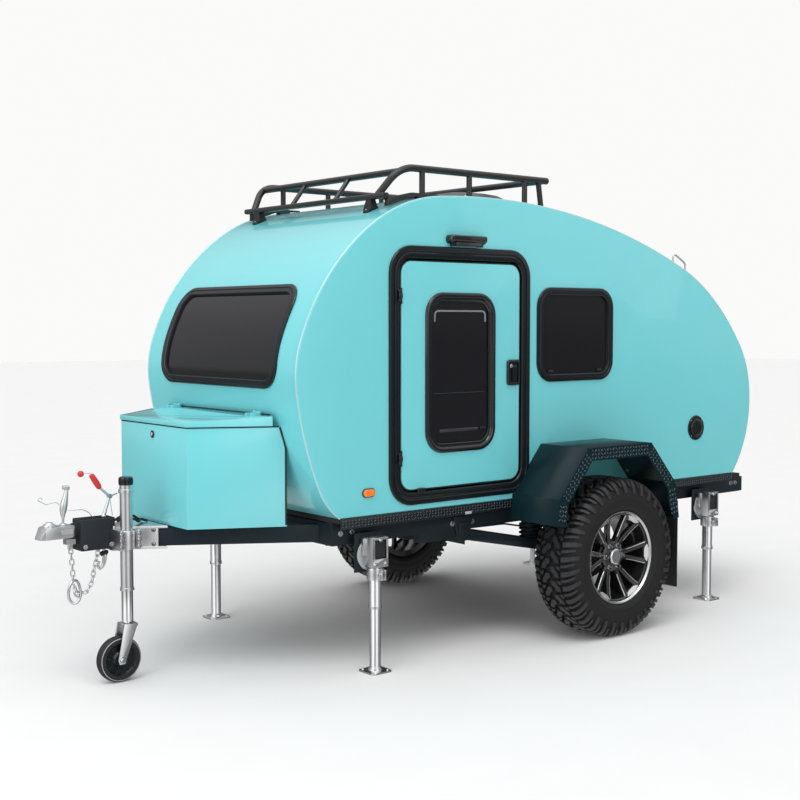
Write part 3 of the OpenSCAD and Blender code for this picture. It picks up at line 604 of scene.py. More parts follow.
def outward(side: float, y: float) -> Placing:
    """Places flat points on the long side of the given sign, measured outwards from a distance."""
    return lambda x, z, t: (x, side * (y + t), z)


def tiers(put: Placing, ring: Callable[[float], Loop], steps: Sequence[Flat]) -> list[list[Sequence[float]]]:
    """Gives a row of placed points for each step of growth and height."""
    return [[put(u, v, t) for u, v in ring(grow)] for grow, t in steps]


def barrel(inner: float, outer: float, low: float, high: float) -> Loop:
    """Gives the profile of a plain barrel, for the lathe."""
    return [(inner, low), (outer, low), (outer, high), (inner, high)]


def along_y(x: float, y: float, z: float, out: float = 1.0) -> Matrix:
    """A placing whose Z axis points along Y, outwards on the given side."""
    return Matrix.Translation((x, y, z)) @ Matrix.Rotation(math.radians(-90 * out), 4, "X")


def upright(x: float, y: float, z: float) -> Matrix:
    """A placing whose Z axis points up."""
    return Matrix.Translation((x, y, z))


def along_x(x: float, y: float, z: float) -> Matrix:
    """A placing whose Z axis points forward."""
    return Matrix.Translation((x, y, z)) @ Matrix.Rotation(math.radians(90), 4, "Y")


def facing(spot: Sequence[float], out: Vector) -> Matrix:
    """A placing whose Z axis points along a given way."""
    return Matrix.Translation(spot) @ Vector((0, 0, 1)).rotation_difference(out).to_matrix().to_4x4()


def ridden(piece: bpy.types.Object, body: str, slot: str, *nodes: str) -> bpy.types.Object:
    """Ties a finished piece to its body and hides the CAD nodes it stands for.

    Args:
        piece: The piece.
        body: The CAD body it moves with.
        slot: The record's material slot; not used.
        *nodes: The CAD nodes it stands for.

    Returns:
        The same piece.
    """
    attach(piece, body)
    if nodes:
        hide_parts(*nodes)
    LOG.info("%s rides on %s", piece.name, body)
    return piece


def refined(
    node: str, finish: Finish, body: str, slot: str, bevel: float = 0.002, sharp: float = SHARP
) -> bpy.types.Object:
    """Makes a rounded copy of a CAD node and lets it stand for the node.

    Args:
        node: The CAD node's name.
        finish: The copy's finish.
        body: The body it rides on.
        slot: The record's material slot.
        bevel: The width of the rounded edges, in metres.
        sharp: The angle that counts as an edge, in degrees.

    Returns:
        The new piece.
    """
    mesh = frame["nodes"][node].data.copy()
    work = bmesh.new()
    work.from_mesh(mesh)
    bmesh.ops.remove_doubles(work, verts=work.verts, dist=CAD_WELD)
    bmesh.ops.dissolve_limit(work, angle_limit=math.radians(CAD_FLATNESS), verts=work.verts, edges=work.edges)
    for edge in work.edges:
        edge.smooth = True
    work.to_mesh(mesh)
    work.free()
    mesh.materials.clear()
    mesh.materials.append(finish.material())
    mesh.polygons.foreach_set("material_index", [0] * len(mesh.polygons))
    piece = bpy.data.objects.new(f"{node}_finished", mesh)
    bpy.context.scene.collection.objects.link(piece)
    if "custom_normal" in mesh.attributes:
        mesh.attributes.remove(mesh.attributes["custom_normal"])
    low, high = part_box(node)
    for vertex in finished(piece, sharp, bevel).data.vertices:
        vertex.co = [min(max(c, a), b) for c, a, b in zip(vertex.co, low, high)]
    return ridden(piece, body, slot, node)


# ---------------------------------------------------------------- geometry nodes


class Recipe:
    """A node tree that repeats or sweeps something, made in code."""

    def __init__(self, name: str, **kinds: str) -> None:
        """Starts a tree with a geometry in and out, its named inputs and, last, its Finish.

        Args:
            name: The tree's name.
            **kinds: The kind of each named input.
        """
        self.tree = bpy.data.node_groups.new(name, "GeometryNodeTree")
        self.ids: dict[str, str] = {}
        face = self.tree.interface
        face.new_socket("Geometry", in_out="INPUT", socket_type="NodeSocketGeometry")
        face.new_socket("Geometry", in_out="OUTPUT", socket_type="NodeSocketGeometry")
        self.start = self.tree.nodes.new("NodeGroupInput")
        self.end = self.tree.nodes.new("NodeGroupOutput")
        for key, kind in {**kinds, "Finish": "Material"}.items():
            self.ids[key] = face.new_socket(key, in_out="INPUT", socket_type=f"NodeSocket{kind}").identifier

    def node(self, kind: str, wires: dict[str | int, object] | None = None, **settings: object) -> bpy.types.Node:
        """Adds a node and wires its inputs.

        Args:
            kind: The node's type.
            wires: What feeds each input: another node's output, a named input of the tree, or a plain value.
            **settings: The node's own settings.

        Returns:
            The node.
        """
        made = self.tree.nodes.new(kind)
        for key, value in settings.items():
            setattr(made, key, value)
        for key, value in (wires or {}).items():
            socket = made.inputs[key]
            if isinstance(value, bpy.types.NodeSocket):
                self.tree.links.new(value, socket)
            elif isinstance(value, str) and value in self.ids:
                self.tree.links.new(self.start.outputs[value], socket)
            else:
                socket.default_value = value
        return made

    def close(self, geometry: bpy.types.NodeSocket) -> "Recipe":
        """Ends the tree in realized, dressed geometry.

        Args:
            geometry: The output that goes to the end.

        Returns:
            This recipe.
        """
        real = self.node("GeometryNodeRealizeInstances", {"Geometry": geometry})
        dressed = self.node("GeometryNodeSetMaterial", {"Geometry": real.outputs[0], "Material": "Finish"})
        self.tree.links.new(dressed.outputs[0], self.end.inputs[0])
        return self

    def run(
        self, base: bpy.types.Object, name: str, finish: Finish, sharp: float = SHARP, **sizes: object
    ) -> bpy.types.Object:
        """Runs the tree on a base and turns the result into a plain mesh.

        Args:
            base: The object with the path or points; it is used up.
            name: The new piece's name.
            finish: Its finish.
            sharp: The angle that stays a sharp edge.
            **sizes: The tree's inputs, with _ for a space in a name.

        Returns:
            The new piece.
        """
        modifier = base.modifiers.new("recipe", "NODES")
        modifier.node_group = self.tree
        modifier[self.ids["Finish"]] = finish.material()
        for key, value in sizes.items():
            modifier[self.ids[key.replace("_", " ")]] = value
        mesh = plain_mesh(base)
        base.modifiers.clear()
        bpy.data.objects.remove(base)
        mesh.name = name
        piece = bpy.data.objects.new(name, mesh)
        bpy.context.scene.collection.objects.link(piece)
        return finished(piece, sharp)


def wire(name: str, paths: Sequence[Sequence[Sequence[float]]], closed: bool = False) -> bpy.types.Object:
    """Makes a bare path of edges for a recipe to follow.

    Args:
        name: The object's name.
        paths: One or more rows of points.
        closed: Whether each row runs round on itself.

    Returns:
        The object.
    """
    points: list[Sequence[float]] = []
    edges: list[tuple[int, int]] = []
    for path in paths:
        start = len(points)
        points.extend(tuple(p) for p in path)
        count = len(path)
        edges.extend((start + i, start + (i + 1) % count) for i in range(count if closed else count - 1))
    mesh = bpy.data.meshes.new(name)
    mesh.from_pydata(points, edges, [])
    made = bpy.data.objects.new(name, mesh)
    bpy.context.scene.collection.objects.link(made)
    return made


def seeds(name: str, places: Sequence[Matrix]) -> bpy.types.Object:
    """Makes bare points that carry a turn, for a recipe to put things on.

    Args:
        name: The object's name.
        places: Where each thing goes and how it is turned.

    Returns:
        The object.
    """
    mesh = bpy.data.meshes.new(name)
    mesh.from_pydata([m.to_translation() for m in places], [], [])
    turns = mesh.attributes.new("turn", "FLOAT_VECTOR", "POINT")
    turns.data.foreach_set("vector", [a for m in places for a in m.to_euler("XYZ")])
    made = bpy.data.objects.new(name, mesh)
    bpy.context.scene.collection.objects.link(made)
    return made


def moulding_recipe() -> Recipe:
    """A tree that sweeps a round or flattened moulding along edges.

    Returns:
        The recipe, with Radius, Flatness, Steps and Finish.
    """
    made = Recipe("moulding_along_edges", Radius="Float", Flatness="Float", Steps="Int")
    line = made.node("GeometryNodeMeshToCurve", {"Mesh": made.start.outputs["Geometry"]})
    ring = made.node("GeometryNodeCurvePrimitiveCircle", {"Resolution": "Steps", "Radius": "Radius"})
    shape = made.node("ShaderNodeCombineXYZ", {"X": 1.0, "Y": "Flatness", "Z": 1.0})
    flat = made.node("GeometryNodeTransform", {"Geometry": ring.outputs[0], "Scale": shape.outputs[0]})
    swept = made.node(
        "GeometryNodeCurveToMesh", {"Curve": line.outputs[0], "Profile Curve": flat.outputs[0], "Fill Caps": True}
    )
    return made.close(swept.outputs[0])


def bolt_recipe() -> Recipe:
    """A tree that puts a six-sided bolt head on a washer at every seed.

    Returns:
        The recipe, with Radius, Height and Finish.
    """
    made = Recipe("bolts_on_seeds", Radius="Float", Height="Float")
    third = made.node("ShaderNodeMath", {0: "Height", 1: 0.35}, operation="MULTIPLY")
    wide = made.node("ShaderNodeMath", {0: "Radius", 1: 1.45}, operation="MULTIPLY")
    slim = made.node("ShaderNodeMath", {0: "Radius", 1: 0.82}, operation="MULTIPLY")
    washer = made.node(
        "GeometryNodeMeshCylinder", {"Vertices": 16, "Radius": wide.outputs[0], "Depth": third.outputs[0]}
    )
    head = made.node(
        "GeometryNodeMeshCone",
        {"Vertices": 6, "Radius Top": slim.outputs[0], "Radius Bottom": "Radius", "Depth": "Height"}
    )
    raise_by = made.node("ShaderNodeCombineXYZ", {"Z": third.outputs[0]})
    lifted = made.node("GeometryNodeTransform", {"Geometry": head.outputs[0], "Translation": raise_by.outputs[0]})
    both = made.node("GeometryNodeJoinGeometry")
    made.tree.links.new(washer.outputs[0], both.inputs[0])
    made.tree.links.new(lifted.outputs[0], both.inputs[0])
    turn = made.node("GeometryNodeInputNamedAttribute", {"Name": "turn"}, data_type="FLOAT_VECTOR")
    put = made.node(
        "GeometryNodeInstanceOnPoints",
        {"Points": made.start.outputs["Geometry"], "Instance": both.outputs[0], "Rotation": turn.outputs[0]}
    )
    return made.close(put.outputs[0])


def parts_recipe() -> Recipe:
    """A tree that puts a given part on every seed.

    Returns:
        The recipe, with Part, Scale and Finish.
    """
    made = Recipe("part_on_seeds", Part="Object", Scale="Float")
    part = made.node("GeometryNodeObjectInfo", {"Object": "Part"})
    turn = made.node("GeometryNodeInputNamedAttribute", {"Name": "turn"}, data_type="FLOAT_VECTOR")
    put = made.node(
        "GeometryNodeInstanceOnPoints",
        {
            "Points": made.start.outputs["Geometry"], "Instance": part.outputs["Geometry"],
            "Rotation": turn.outputs[0], "Scale": "Scale"
        }
    )
    return made.close(put.outputs[0])


def ring_recipe() -> Recipe:
    """A tree that repeats a given part round the Y axis.

    Returns:
        The recipe, with Part, Count, Start, Centre and Finish.
    """
    made = Recipe("part_round_axle", Part="Object", Count="Int", Start="Float", Centre="Vector")
    part = made.node("GeometryNodeObjectInfo", {"Object": "Part"})
    line = made.node("GeometryNodeMeshLine", {"Count": "Count", "Offset": (0.0, 0.0, 0.0)})
    index = made.node("GeometryNodeInputIndex")
    share = made.node("ShaderNodeMath", {0: math.tau, 1: "Count"}, operation="DIVIDE")
    angle = made.node(
        "ShaderNodeMath", {0: index.outputs[0], 1: share.outputs[0], 2: "Start"}, operation="MULTIPLY_ADD"
    )
    turn = made.node("ShaderNodeCombineXYZ", {"Y": angle.outputs[0]})
    put = made.node(
        "GeometryNodeInstanceOnPoints",
        {"Points": line.outputs[0], "Instance": part.outputs["Geometry"], "Rotation": turn.outputs[0]}
    )
    moved = made.node("GeometryNodeTransform", {"Geometry": put.outputs[0], "Translation": "Centre"})
    return made.close(moved.outputs[0])


@dataclass
class Recipes:
    """The node trees, each made once."""

    moulding: Recipe = field(default_factory=moulding_recipe)
    bolts: Recipe = field(default_factory=bolt_recipe)
    parts: Recipe = field(default_factory=parts_recipe)
    ring: Recipe = field(default_factory=ring_recipe)


RECIPES = Recipes()


def bolts(
    name: str, places: Sequence[Matrix], radius: float, height: float, finish: Finish, body: str, slot: str
) -> bpy.types.Object:
    """Puts bolts on a body.

    Args:
        name: The piece's name.
        places: Where each bolt stands, with its Z outwards.
        radius: The head's radius.
        height: The head's height.
        finish: Its finish.
        body: The body they ride on.
        slot: The record's material slot.

    Returns:
        The piece.
    """
    made = RECIPES.bolts.run(seeds(f"{name}_seeds", places), name, finish, Radius=radius, Height=height)
    return ridden(made, body, slot)


def moulding(
    name: str,
    paths: Sequence[Sequence[Sequence[float]]],
    radius: float,
    finish: Finish,
    body: str,
    slot: str,
    closed: bool = False,
    flat: float = 1.0,
    steps: int = 10,
) -> bpy.types.Object:
    """Runs a moulding or wire along paths.

    Args:
        name: The piece's name.
        paths: The rows of points that it follows.
        radius: Half its thickness.
        finish: Its finish.
        body: The body it rides on.
        slot: The record's material slot.
        closed: Whether the paths run round on themselves.
        flat: How flat its section is.
        steps: Sides round its section.

    Returns:
        The piece.
    """
    made = RECIPES.moulding.run(
        wire(f"{name}_line", paths, closed), name, finish, 50.0, Radius=radius, Flatness=flat, Steps=steps
    )
    return ridden(made, body, slot)


# ---------------------------------------------------------------- the body


@dataclass(frozen=True)
class ShellLine:
    """The body's side outline: arcs that run from the front foot over the roof to the tail."""

    foot: Flat = (1.434 + AXLE_X, 0.663)
    first: float = 35.5
    arcs: tuple[Flat, ...] = (
        (0.31, 31.8), (1.592, 14.8), (0.463, 26.7), (0.98, 38.1), (0.742, 28.9), (3.663, 27.0), (0.962, 9.6),
        (1.262, 21.8), (0.455, 23.1), (0.601, 53.7)
    )
    skin: float = 0.025
    side: float = 0.618
    inner: float = 0.593
    hatch_seam: float = 201.0
    hatch_foot: float = 284.0

    @property
    def last(self) -> float:
        """The heading at the tail's foot."""
        return self.first + sum(turn for _, turn in self.arcs)

    def _arc(self, heading: float) -> Spot:
        """Finds the arc that holds a heading.

        Args:
            heading: Degrees round the outline.

        Returns:
            The arc's radius and its middle's X and Z.
        """
        start = math.radians(self.first)
        size = self.arcs[0][0]
        cx, cz = self.foot[0] - size * math.sin(start), self.foot[1] + size * math.cos(start)
        reached = self.first
        for radius, turn in self.arcs:
            at = math.radians(reached)
            cx, cz = cx - (radius - size) * math.sin(at), cz + (radius - size) * math.cos(at)
            size = radius
            reached += turn
            if heading <= reached + 1e-9:
                break
        return size, cx, cz

    def at(self, heading: float, depth: float = 0.0) -> Flat:
        """Gives the X and Z of the outline.

        Args:
            heading: Degrees round the outline.
            depth: How far inside the skin's outer face.

        Returns:
            The point.
        """
        size, cx, cz = self._arc(heading)
        a = math.radians(heading)
        return cx + (size - depth) * math.sin(a), cz - (size - depth) * math.cos(a)

    def seek(self, low: float, high: float, test: Callable[[float], bool]) -> float:
        """Halves a range of headings until a test turns from true to false."""
        for _ in range(40):
            middle = (low + high) / 2
            low, high = (middle, high) if test(middle) else (low, middle)
        return low

    def front_heading(self, z: float) -> float:
        """The heading of the front at a height."""
        return self.seek(self.first, 170.0, lambda h: self.at(h)[1] < z)

    def roof_heading(self, x: float) -> float:
        """The heading of the roof at a length."""
        return self.seek(90.0, 250.0, lambda h: self.at(h)[0] > x)

    def headings(self, low: float, high: float) -> list[float]:
        """Gives headings close enough for a smooth line.

        Args:
            low: The first heading.
            high: The last heading.

        Returns:
            The headings, both ends included.
        """
        marks = [low]
        reached = self.first
        for radius, turn in self.arcs:
            count = max(int(math.ceil(radius * math.radians(turn) / 0.035)), 6)
            marks.extend(
                h for h in (reached + turn * i / count for i in range(1, count + 1)) if low + 0.2 < h < high - 0.2
            )
            reached += turn
        return [*marks, high]

    def floor_at(self, x: float) -> float:
        """The height of the straight line between the outline's two feet."""
        tail = self.at(self.last)
        return self.foot[1] + (tail[1] - self.foot[1]) * (self.foot[0] - x) / (self.foot[0] - tail[0])

    def ring(self, depth: float) -> Loop:
        """The whole outline set inwards, its straight foot with it."""
        points = [self.at(h, depth) for h in self.headings(self.first, self.last)]
        return [(x, max(z, self.floor_at(x) + depth)) for x, z in points]


SHELL = ShellLine()


@dataclass
class Opening:
    """A rounded outline on a face of the body: an opening, a lamp or a plate."""

    x: float
    z: float
    width: float
    height: float
    radius: float
    straight: int = 1

    def ring(self, grow: float = 0.0) -> Loop:
        """The opening's outline, grown by a distance."""
        return rounded(self.x, self.z, self.width, self.height, self.radius, grow, 8, self.straight)


DOORWAY = Opening(0.757 + AXLE_X, 1.2485, 0.705, 0.987, 0.056)
DOOR_LIGHT = Opening(0.77 + AXLE_X, 1.257, 0.332, 0.622, 0.058)
SIDE_LIGHT = Opening(0.0235 + AXLE_X, 1.421, 0.457, 0.374, 0.058)
FRONT_LIGHT = Opening(0.0, 1.421, 0.885, 0.362, 0.058, 14)


@dataclass
class BodyShell:
    """The teardrop's skins: two sides, the roof and front, the tail and the galley hatch."""

    edge: float = 0.007
    bead: float = 0.0037
    hinge_rows: tuple[float, ...] = (-0.445, 0.0, 0.445)
    grip: tuple[Flat, ...] = (
        (-0.851, 1.8), (-0.853, 1.832), (-0.872, 1.836), (-0.94, 1.8), (-0.954, 1.788), (-0.951, 1.755)
    )

    def build(self) -> None:
        """Builds every skin and the mouldings along their edges."""
        for side in Side:
            self.side_panel(side)
        self.roof_panel()
        self.band("tail_skin", SHELL.hatch_foot + 0.55, SHELL.last, SHELL.inner, "trailer", "tail_panel")
        self.hatch()
        self.trims()

    def side_panel(self, side: Side) -> None:
        """Builds one side with a rolled edge, its doorway and its window opening."""
        shape = Shape(PAINT, LINING)
        s = side.value
        cuts = [DOORWAY.ring(0.037), SIDE_LIGHT.ring(0.016)]

        def row(depth: float, y: float) -> list[Spot]:
            return [(x, s * y, z) for x, z in SHELL.ring(depth)]

        rolled = [
            row(self.edge * (1 - math.sin(a)), SHELL.side - self.edge * (1 - math.cos(a)))
            for a in (math.pi / 2 * i / 4 for i in range(4, -1, -1))
        ]
        rolled.insert(0, row(0.0, SHELL.inner + 0.0005))
        shape.loft(rolled)
        shape.cap(SHELL.ring(self.edge), cuts, lambda x, z: (x, s * SHELL.side, z))
        shape.cap(SHELL.ring(0.0), cuts, lambda x, z: (x, s * (SHELL.inner + 0.0005), z), 1)
        for cut in cuts:
            shape.loft([[(x, s * y, z) for x, z in cut] for y in (SHELL.inner + 0.0005, SHELL.side)], 1)
        ridden(shape.build(f"side_skin_{side.word}", 40.0), "trailer", "body", f"side_panel_{side.word}")

    def band(self, name: str, low: float, high: float, half: float, body: str, node: str, drop: float = 0.0) -> None:
        """Builds a curved skin across the body between two headings."""
        shape = Shape(PAINT, LINING)
        self._curved(shape, low, high, half, [], drop)
        ridden(shape.build(name, 40.0), body, "body", node)

    def _curved(
        self, shape: Shape, low: float, high: float, half: float, holes: Sequence[Loop], drop: float = 0.0
    ) -> None:
        """Lays a curved skin's two faces and its edges.

        Args:
            shape: The shape that takes them.
            low: The first heading.
            high: The last heading.
            half: Half the skin's width.
            holes: Openings, as pairs of Y and heading.
            drop: How far the outer face lies inside the outline.
        """
        holes = [[(y, round(heading, 4)) for y, heading in hole] for hole in holes]
        cuts = sorted({heading for hole in holes for _, heading in hole})
        marks = sorted(cuts + [h for h in SHELL.headings(low, high) if all(abs(h - cut) > 0.2 for cut in cuts)])
        outer: Loop = [(-half, marks[0]), (half, marks[0])]
        outer += [(half, h) for h in marks[1:]] + [(-half, h) for h in reversed(marks[1:])]
        lines = [((-half, h), (half, h)) for h in marks[1:-1]]

        def place(depth: float) -> Callable[[float, float], Spot]:
            def put(y: float, heading: float) -> Spot:
                x, z = SHELL.at(heading, depth)
                return x, y, z

            return put

        front, back = place(drop), place(SHELL.skin)
        shape.cap(outer, holes, front, 0, lines)
        shape.cap(outer, holes, back, 1, lines)
        for ring, pick in [(outer, 0), *((hole, 1) for hole in holes)]:
            shape.loft([[front(*p) for p in ring], [back(*p) for p in ring]], pick)

    def roof_panel(self) -> None:
        """Builds the front and roof in one skin, with the front window's opening."""
        shape = Shape(PAINT, LINING)
        hole = [(y, SHELL.front_heading(z)) for y, z in FRONT_LIGHT.ring(0.016)]
        self._curved(shape, SHELL.first, SHELL.hatch_seam, SHELL.inner, [hole])
        ridden(shape.build("roof_skin", 40.0), "trailer", "body", "roof_panel")
        self._fixed_hinges()

    def _fixed_hinges(self) -> None:
        """Adds the hatch's fixed hinge leaves back, which the skin's copy leaves out."""
        shape = Shape(TRIM)
        x, z = SHELL.at(SHELL.hatch_seam, -0.014)
        foot = SHELL.at(SHELL.hatch_seam - 1.2, 0.0)
        toe = SHELL.at(SHELL.hatch_seam - 2.4, 0.0)
        pin = along_y(x, 0, z)
        for y in self.hinge_rows:
            for low, high in ((-0.031, -0.016), (0.016, 0.031)):
                shape.lathe(barrel(0.0, 0.0075, low + y, high + y), pin, 16)
                rows = []
                for v in (y + low, y + high):
                    rows.append([
                        (foot[0], v, foot[1] - 0.002), (toe[0], v, toe[1] - 0.002), (toe[0], v, toe[1] + 0.003),
                        (foot[0] - 0.004, v, foot[1] + 0.009), (x, v, z + 0.006), (x, v, z - 0.006)
                    ])
                shape.loft_solid(rows)
            shape.lathe(barrel(0.0, 0.004, y - 0.034, y + 0.034), pin, 14)
        ridden(shape.build("hatch_hinge_leaves", bevel=0.0006), "trailer", "body")

    def hatch(self) -> None:
        """Builds the galley hatch, its hinge knuckles, handle and lock."""
        step = 0.28
        half = SHELL.inner - 0.0065
        shape = Shape(PAINT, LINING)
        self._curved(shape, SHELL.hatch_seam + step, SHELL.hatch_foot, half, [])
        ridden(shape.build("hatch_skin", 40.0), "hatch", "body", "galley_hatch")
        knuckles = Shape(TRIM)
        x, z = SHELL.at(SHELL.hatch_seam, -0.014)
        toe = SHELL.at(SHELL.hatch_seam + 3.0, 0.0)
        foot = SHELL.at(SHELL.hatch_seam + 1.4, 0.0)
        for y in self.hinge_rows:
            knuckles.lathe(barrel(0.0045, 0.0075, y - 0.014, y + 0.014), along_y(x, 0, z), 16)
            rows = [
                [
                    (foot[0], v, foot[1] - 0.003), (toe[0], v, toe[1] - 0.003), (toe[0], v, toe[1] + 0.003),
                    (foot[0], v, foot[1] + 0.008), (x - 0.0055, v, z + 0.005), (x - 0.0055, v, z - 0.005)
                ]
                for v in (y - 0.014, y + 0.014)
            ]
            knuckles.loft_solid(rows)
        ridden(knuckles.build("hatch_knuckles", bevel=0.0006), "hatch", "body")
        self._hatch_handle()

    def _hatch_handle(self) -> None:
        """Builds the turning handle near the hatch's foot."""
        heading = SHELL.hatch_foot - 14.0
        x, z = SHELL.at(heading, 0.0)
        a = math.radians(heading)
        out = Vector((math.sin(a), 0.0, -math.cos(a)))
        place = facing((x, 0.0, z), out)
        shape = Shape(GLOSS, CHROME)
        plate = rounded(0, 0, 0.15, 0.092, 0.02)
        shape.domed([
            [place @ Vector((u * k, v * k, t)) for u, v in plate]
            for k, t in ((1.0, -0.002), (1.0, 0.003), (0.95, 0.006))
        ])
        shape.lathe([(0.02, 0.004), (0.02, 0.012), (0.016, 0.016), (0.01, 0.017), (0.0, 0.017)], place, 28, 1)
        bar = rounded(0, 0, 0.104, 0.02, 0.009)
        shape.domed([
            [place @ Vector((u * k, v * k, t)) for u, v in bar]
            for k, t in ((0.9, 0.012), (1.0, 0.015), (1.0, 0.022), (0.92, 0.026))
        ])
        ridden(shape.build("hatch_handle", bevel=0.0005), "hatch", "black_trim")

    def trims(self) -> None:
        """Runs the piping, pale partly as a painted highlight, along both sides' edges and the seals round the hatch.
        """
        paths = []
        for s in SIGNS:
            y = s * (SHELL.side - 0.0055)
            paths.append(
                [(x, y, z) for x, z in (SHELL.at(h, 0.0012) for h in SHELL.headings(SHELL.first, SHELL.last))]
            )
        moulding("edge_piping", paths, self.bead, LIT_PIPING, "trailer", "body", steps=12)
        seams = []
        for s in SIGNS:
            y = s * (SHELL.inner - 0.003)
            seams.append([
                (x, y, z)
                for x, z in (SHELL.at(h, 0.004) for h in SHELL.headings(SHELL.hatch_seam, SHELL.hatch_foot))
            ])
        for h in (SHELL.hatch_seam + 0.1, SHELL.hatch_foot + 0.25):
            x, z = SHELL.at(h, 0.006)
            seams.append([(x, -SHELL.inner + 0.004, z), (x, SHELL.inner - 0.004, z)])
        moulding("hatch_seal", seams, 0.0024, SEAL, "trailer", "body", steps=8)
        shape = Shape(CAST)
        for s in SIGNS:
            y = s * 0.5
            path = [(x + AXLE_X, y, z) for x, z in self.grip]
            shape.tube(filleted(path, 0.012, 5), 0.005, 10)
        ridden(shape.build("hatch_grips"), "hatch", "body")


@dataclass
class Glazing:
    """The windows: frames with a groove and a rounded lip, and their dark panes."""

    profile: tuple[tuple[float, float, int], ...] = (
        (0.036, 0.0, 0), (0.036, 0.0055, 0), (0.0335, 0.0082, 0), (0.022, 0.0095, 0), (0.0195, 0.0068, 1),
        (0.0165, 0.0068, 1), (0.014, 0.0098, 0), (0.004, 0.0094, 0), (0.001, 0.0072, 0), (0.0, 0.003, 1),
        (0.0, -0.024, 1), (0.016, -0.024, 1), (0.016, -0.0005, 1)
    )

    def build(self) -> None:
        """Builds the side windows and the front window."""
        shape = Shape(TRIM, SEAL)
        for s in SIGNS:
            shape.sweep(self.profile, SIDE_LIGHT.ring, outward(s, SHELL.side))
        shape.sweep(self.profile, FRONT_LIGHT.ring, self._front)
        ridden(shape.build("window_surrounds", 30.0), "trailer", "black_trim", "window_frames")
        panes = Shape(GLASS)
        for s in SIGNS:
            self.pane(panes, SIDE_LIGHT, outward(s, SHELL.side - 0.01))
        self.pane(panes, FRONT_LIGHT, lambda y, z, t: self._front(y, z, -0.009 + t))
        ridden(panes.build("window_glass", 40.0), "trailer", "tinted_glass", "window_panes")
        self._stays()

    def _front(self, y: float, z: float, out: float) -> Spot:
        """Places a point of the front window on the curved front."""
        x, up = SHELL.at(SHELL.front_heading(z), -out)
        return x, y, up

    def pane(self, shape: Shape, light: Opening, place: Placing) -> None:
        """Fills an opening with a pane 5 mm thick."""
        ring = [(u, round(v, 6)) for u, v in light.ring(0.001)]
        wide = max(abs(u - light.x) for u, _ in ring) + 0.01
        lines = [((light.x - wide, z), (light.x + wide, z)) for z in sorted({v for _, v in ring})[1:-1]]
        for t in (0.0, 0.005):
            shape.cap(ring, [], lambda u, v, t=t: place(u, v, t), 0, lines if light is FRONT_LIGHT else ())
        shape.loft([[place(u, v, t) for u, v in ring] for t in (0.0, 0.005)])

    def _stays(self) -> None:
        """Adds the small catches inside the frames' lower corners."""
        shape = Shape(GLOSS)
        for s in SIGNS:
            for x in (SIDE_LIGHT.x - 0.17, SIDE_LIGHT.x + 0.17):
                z = SIDE_LIGHT.z - SIDE_LIGHT.height / 2 + 0.012
                shape.side_block(
                    s, (x - 0.016, x + 0.016), (SHELL.side - 0.005, SHELL.side + 0.003), (z - 0.007, z + 0.007)
                )
        ridden(shape.build("window_catches", bevel=0.002), "trailer", "black_trim")


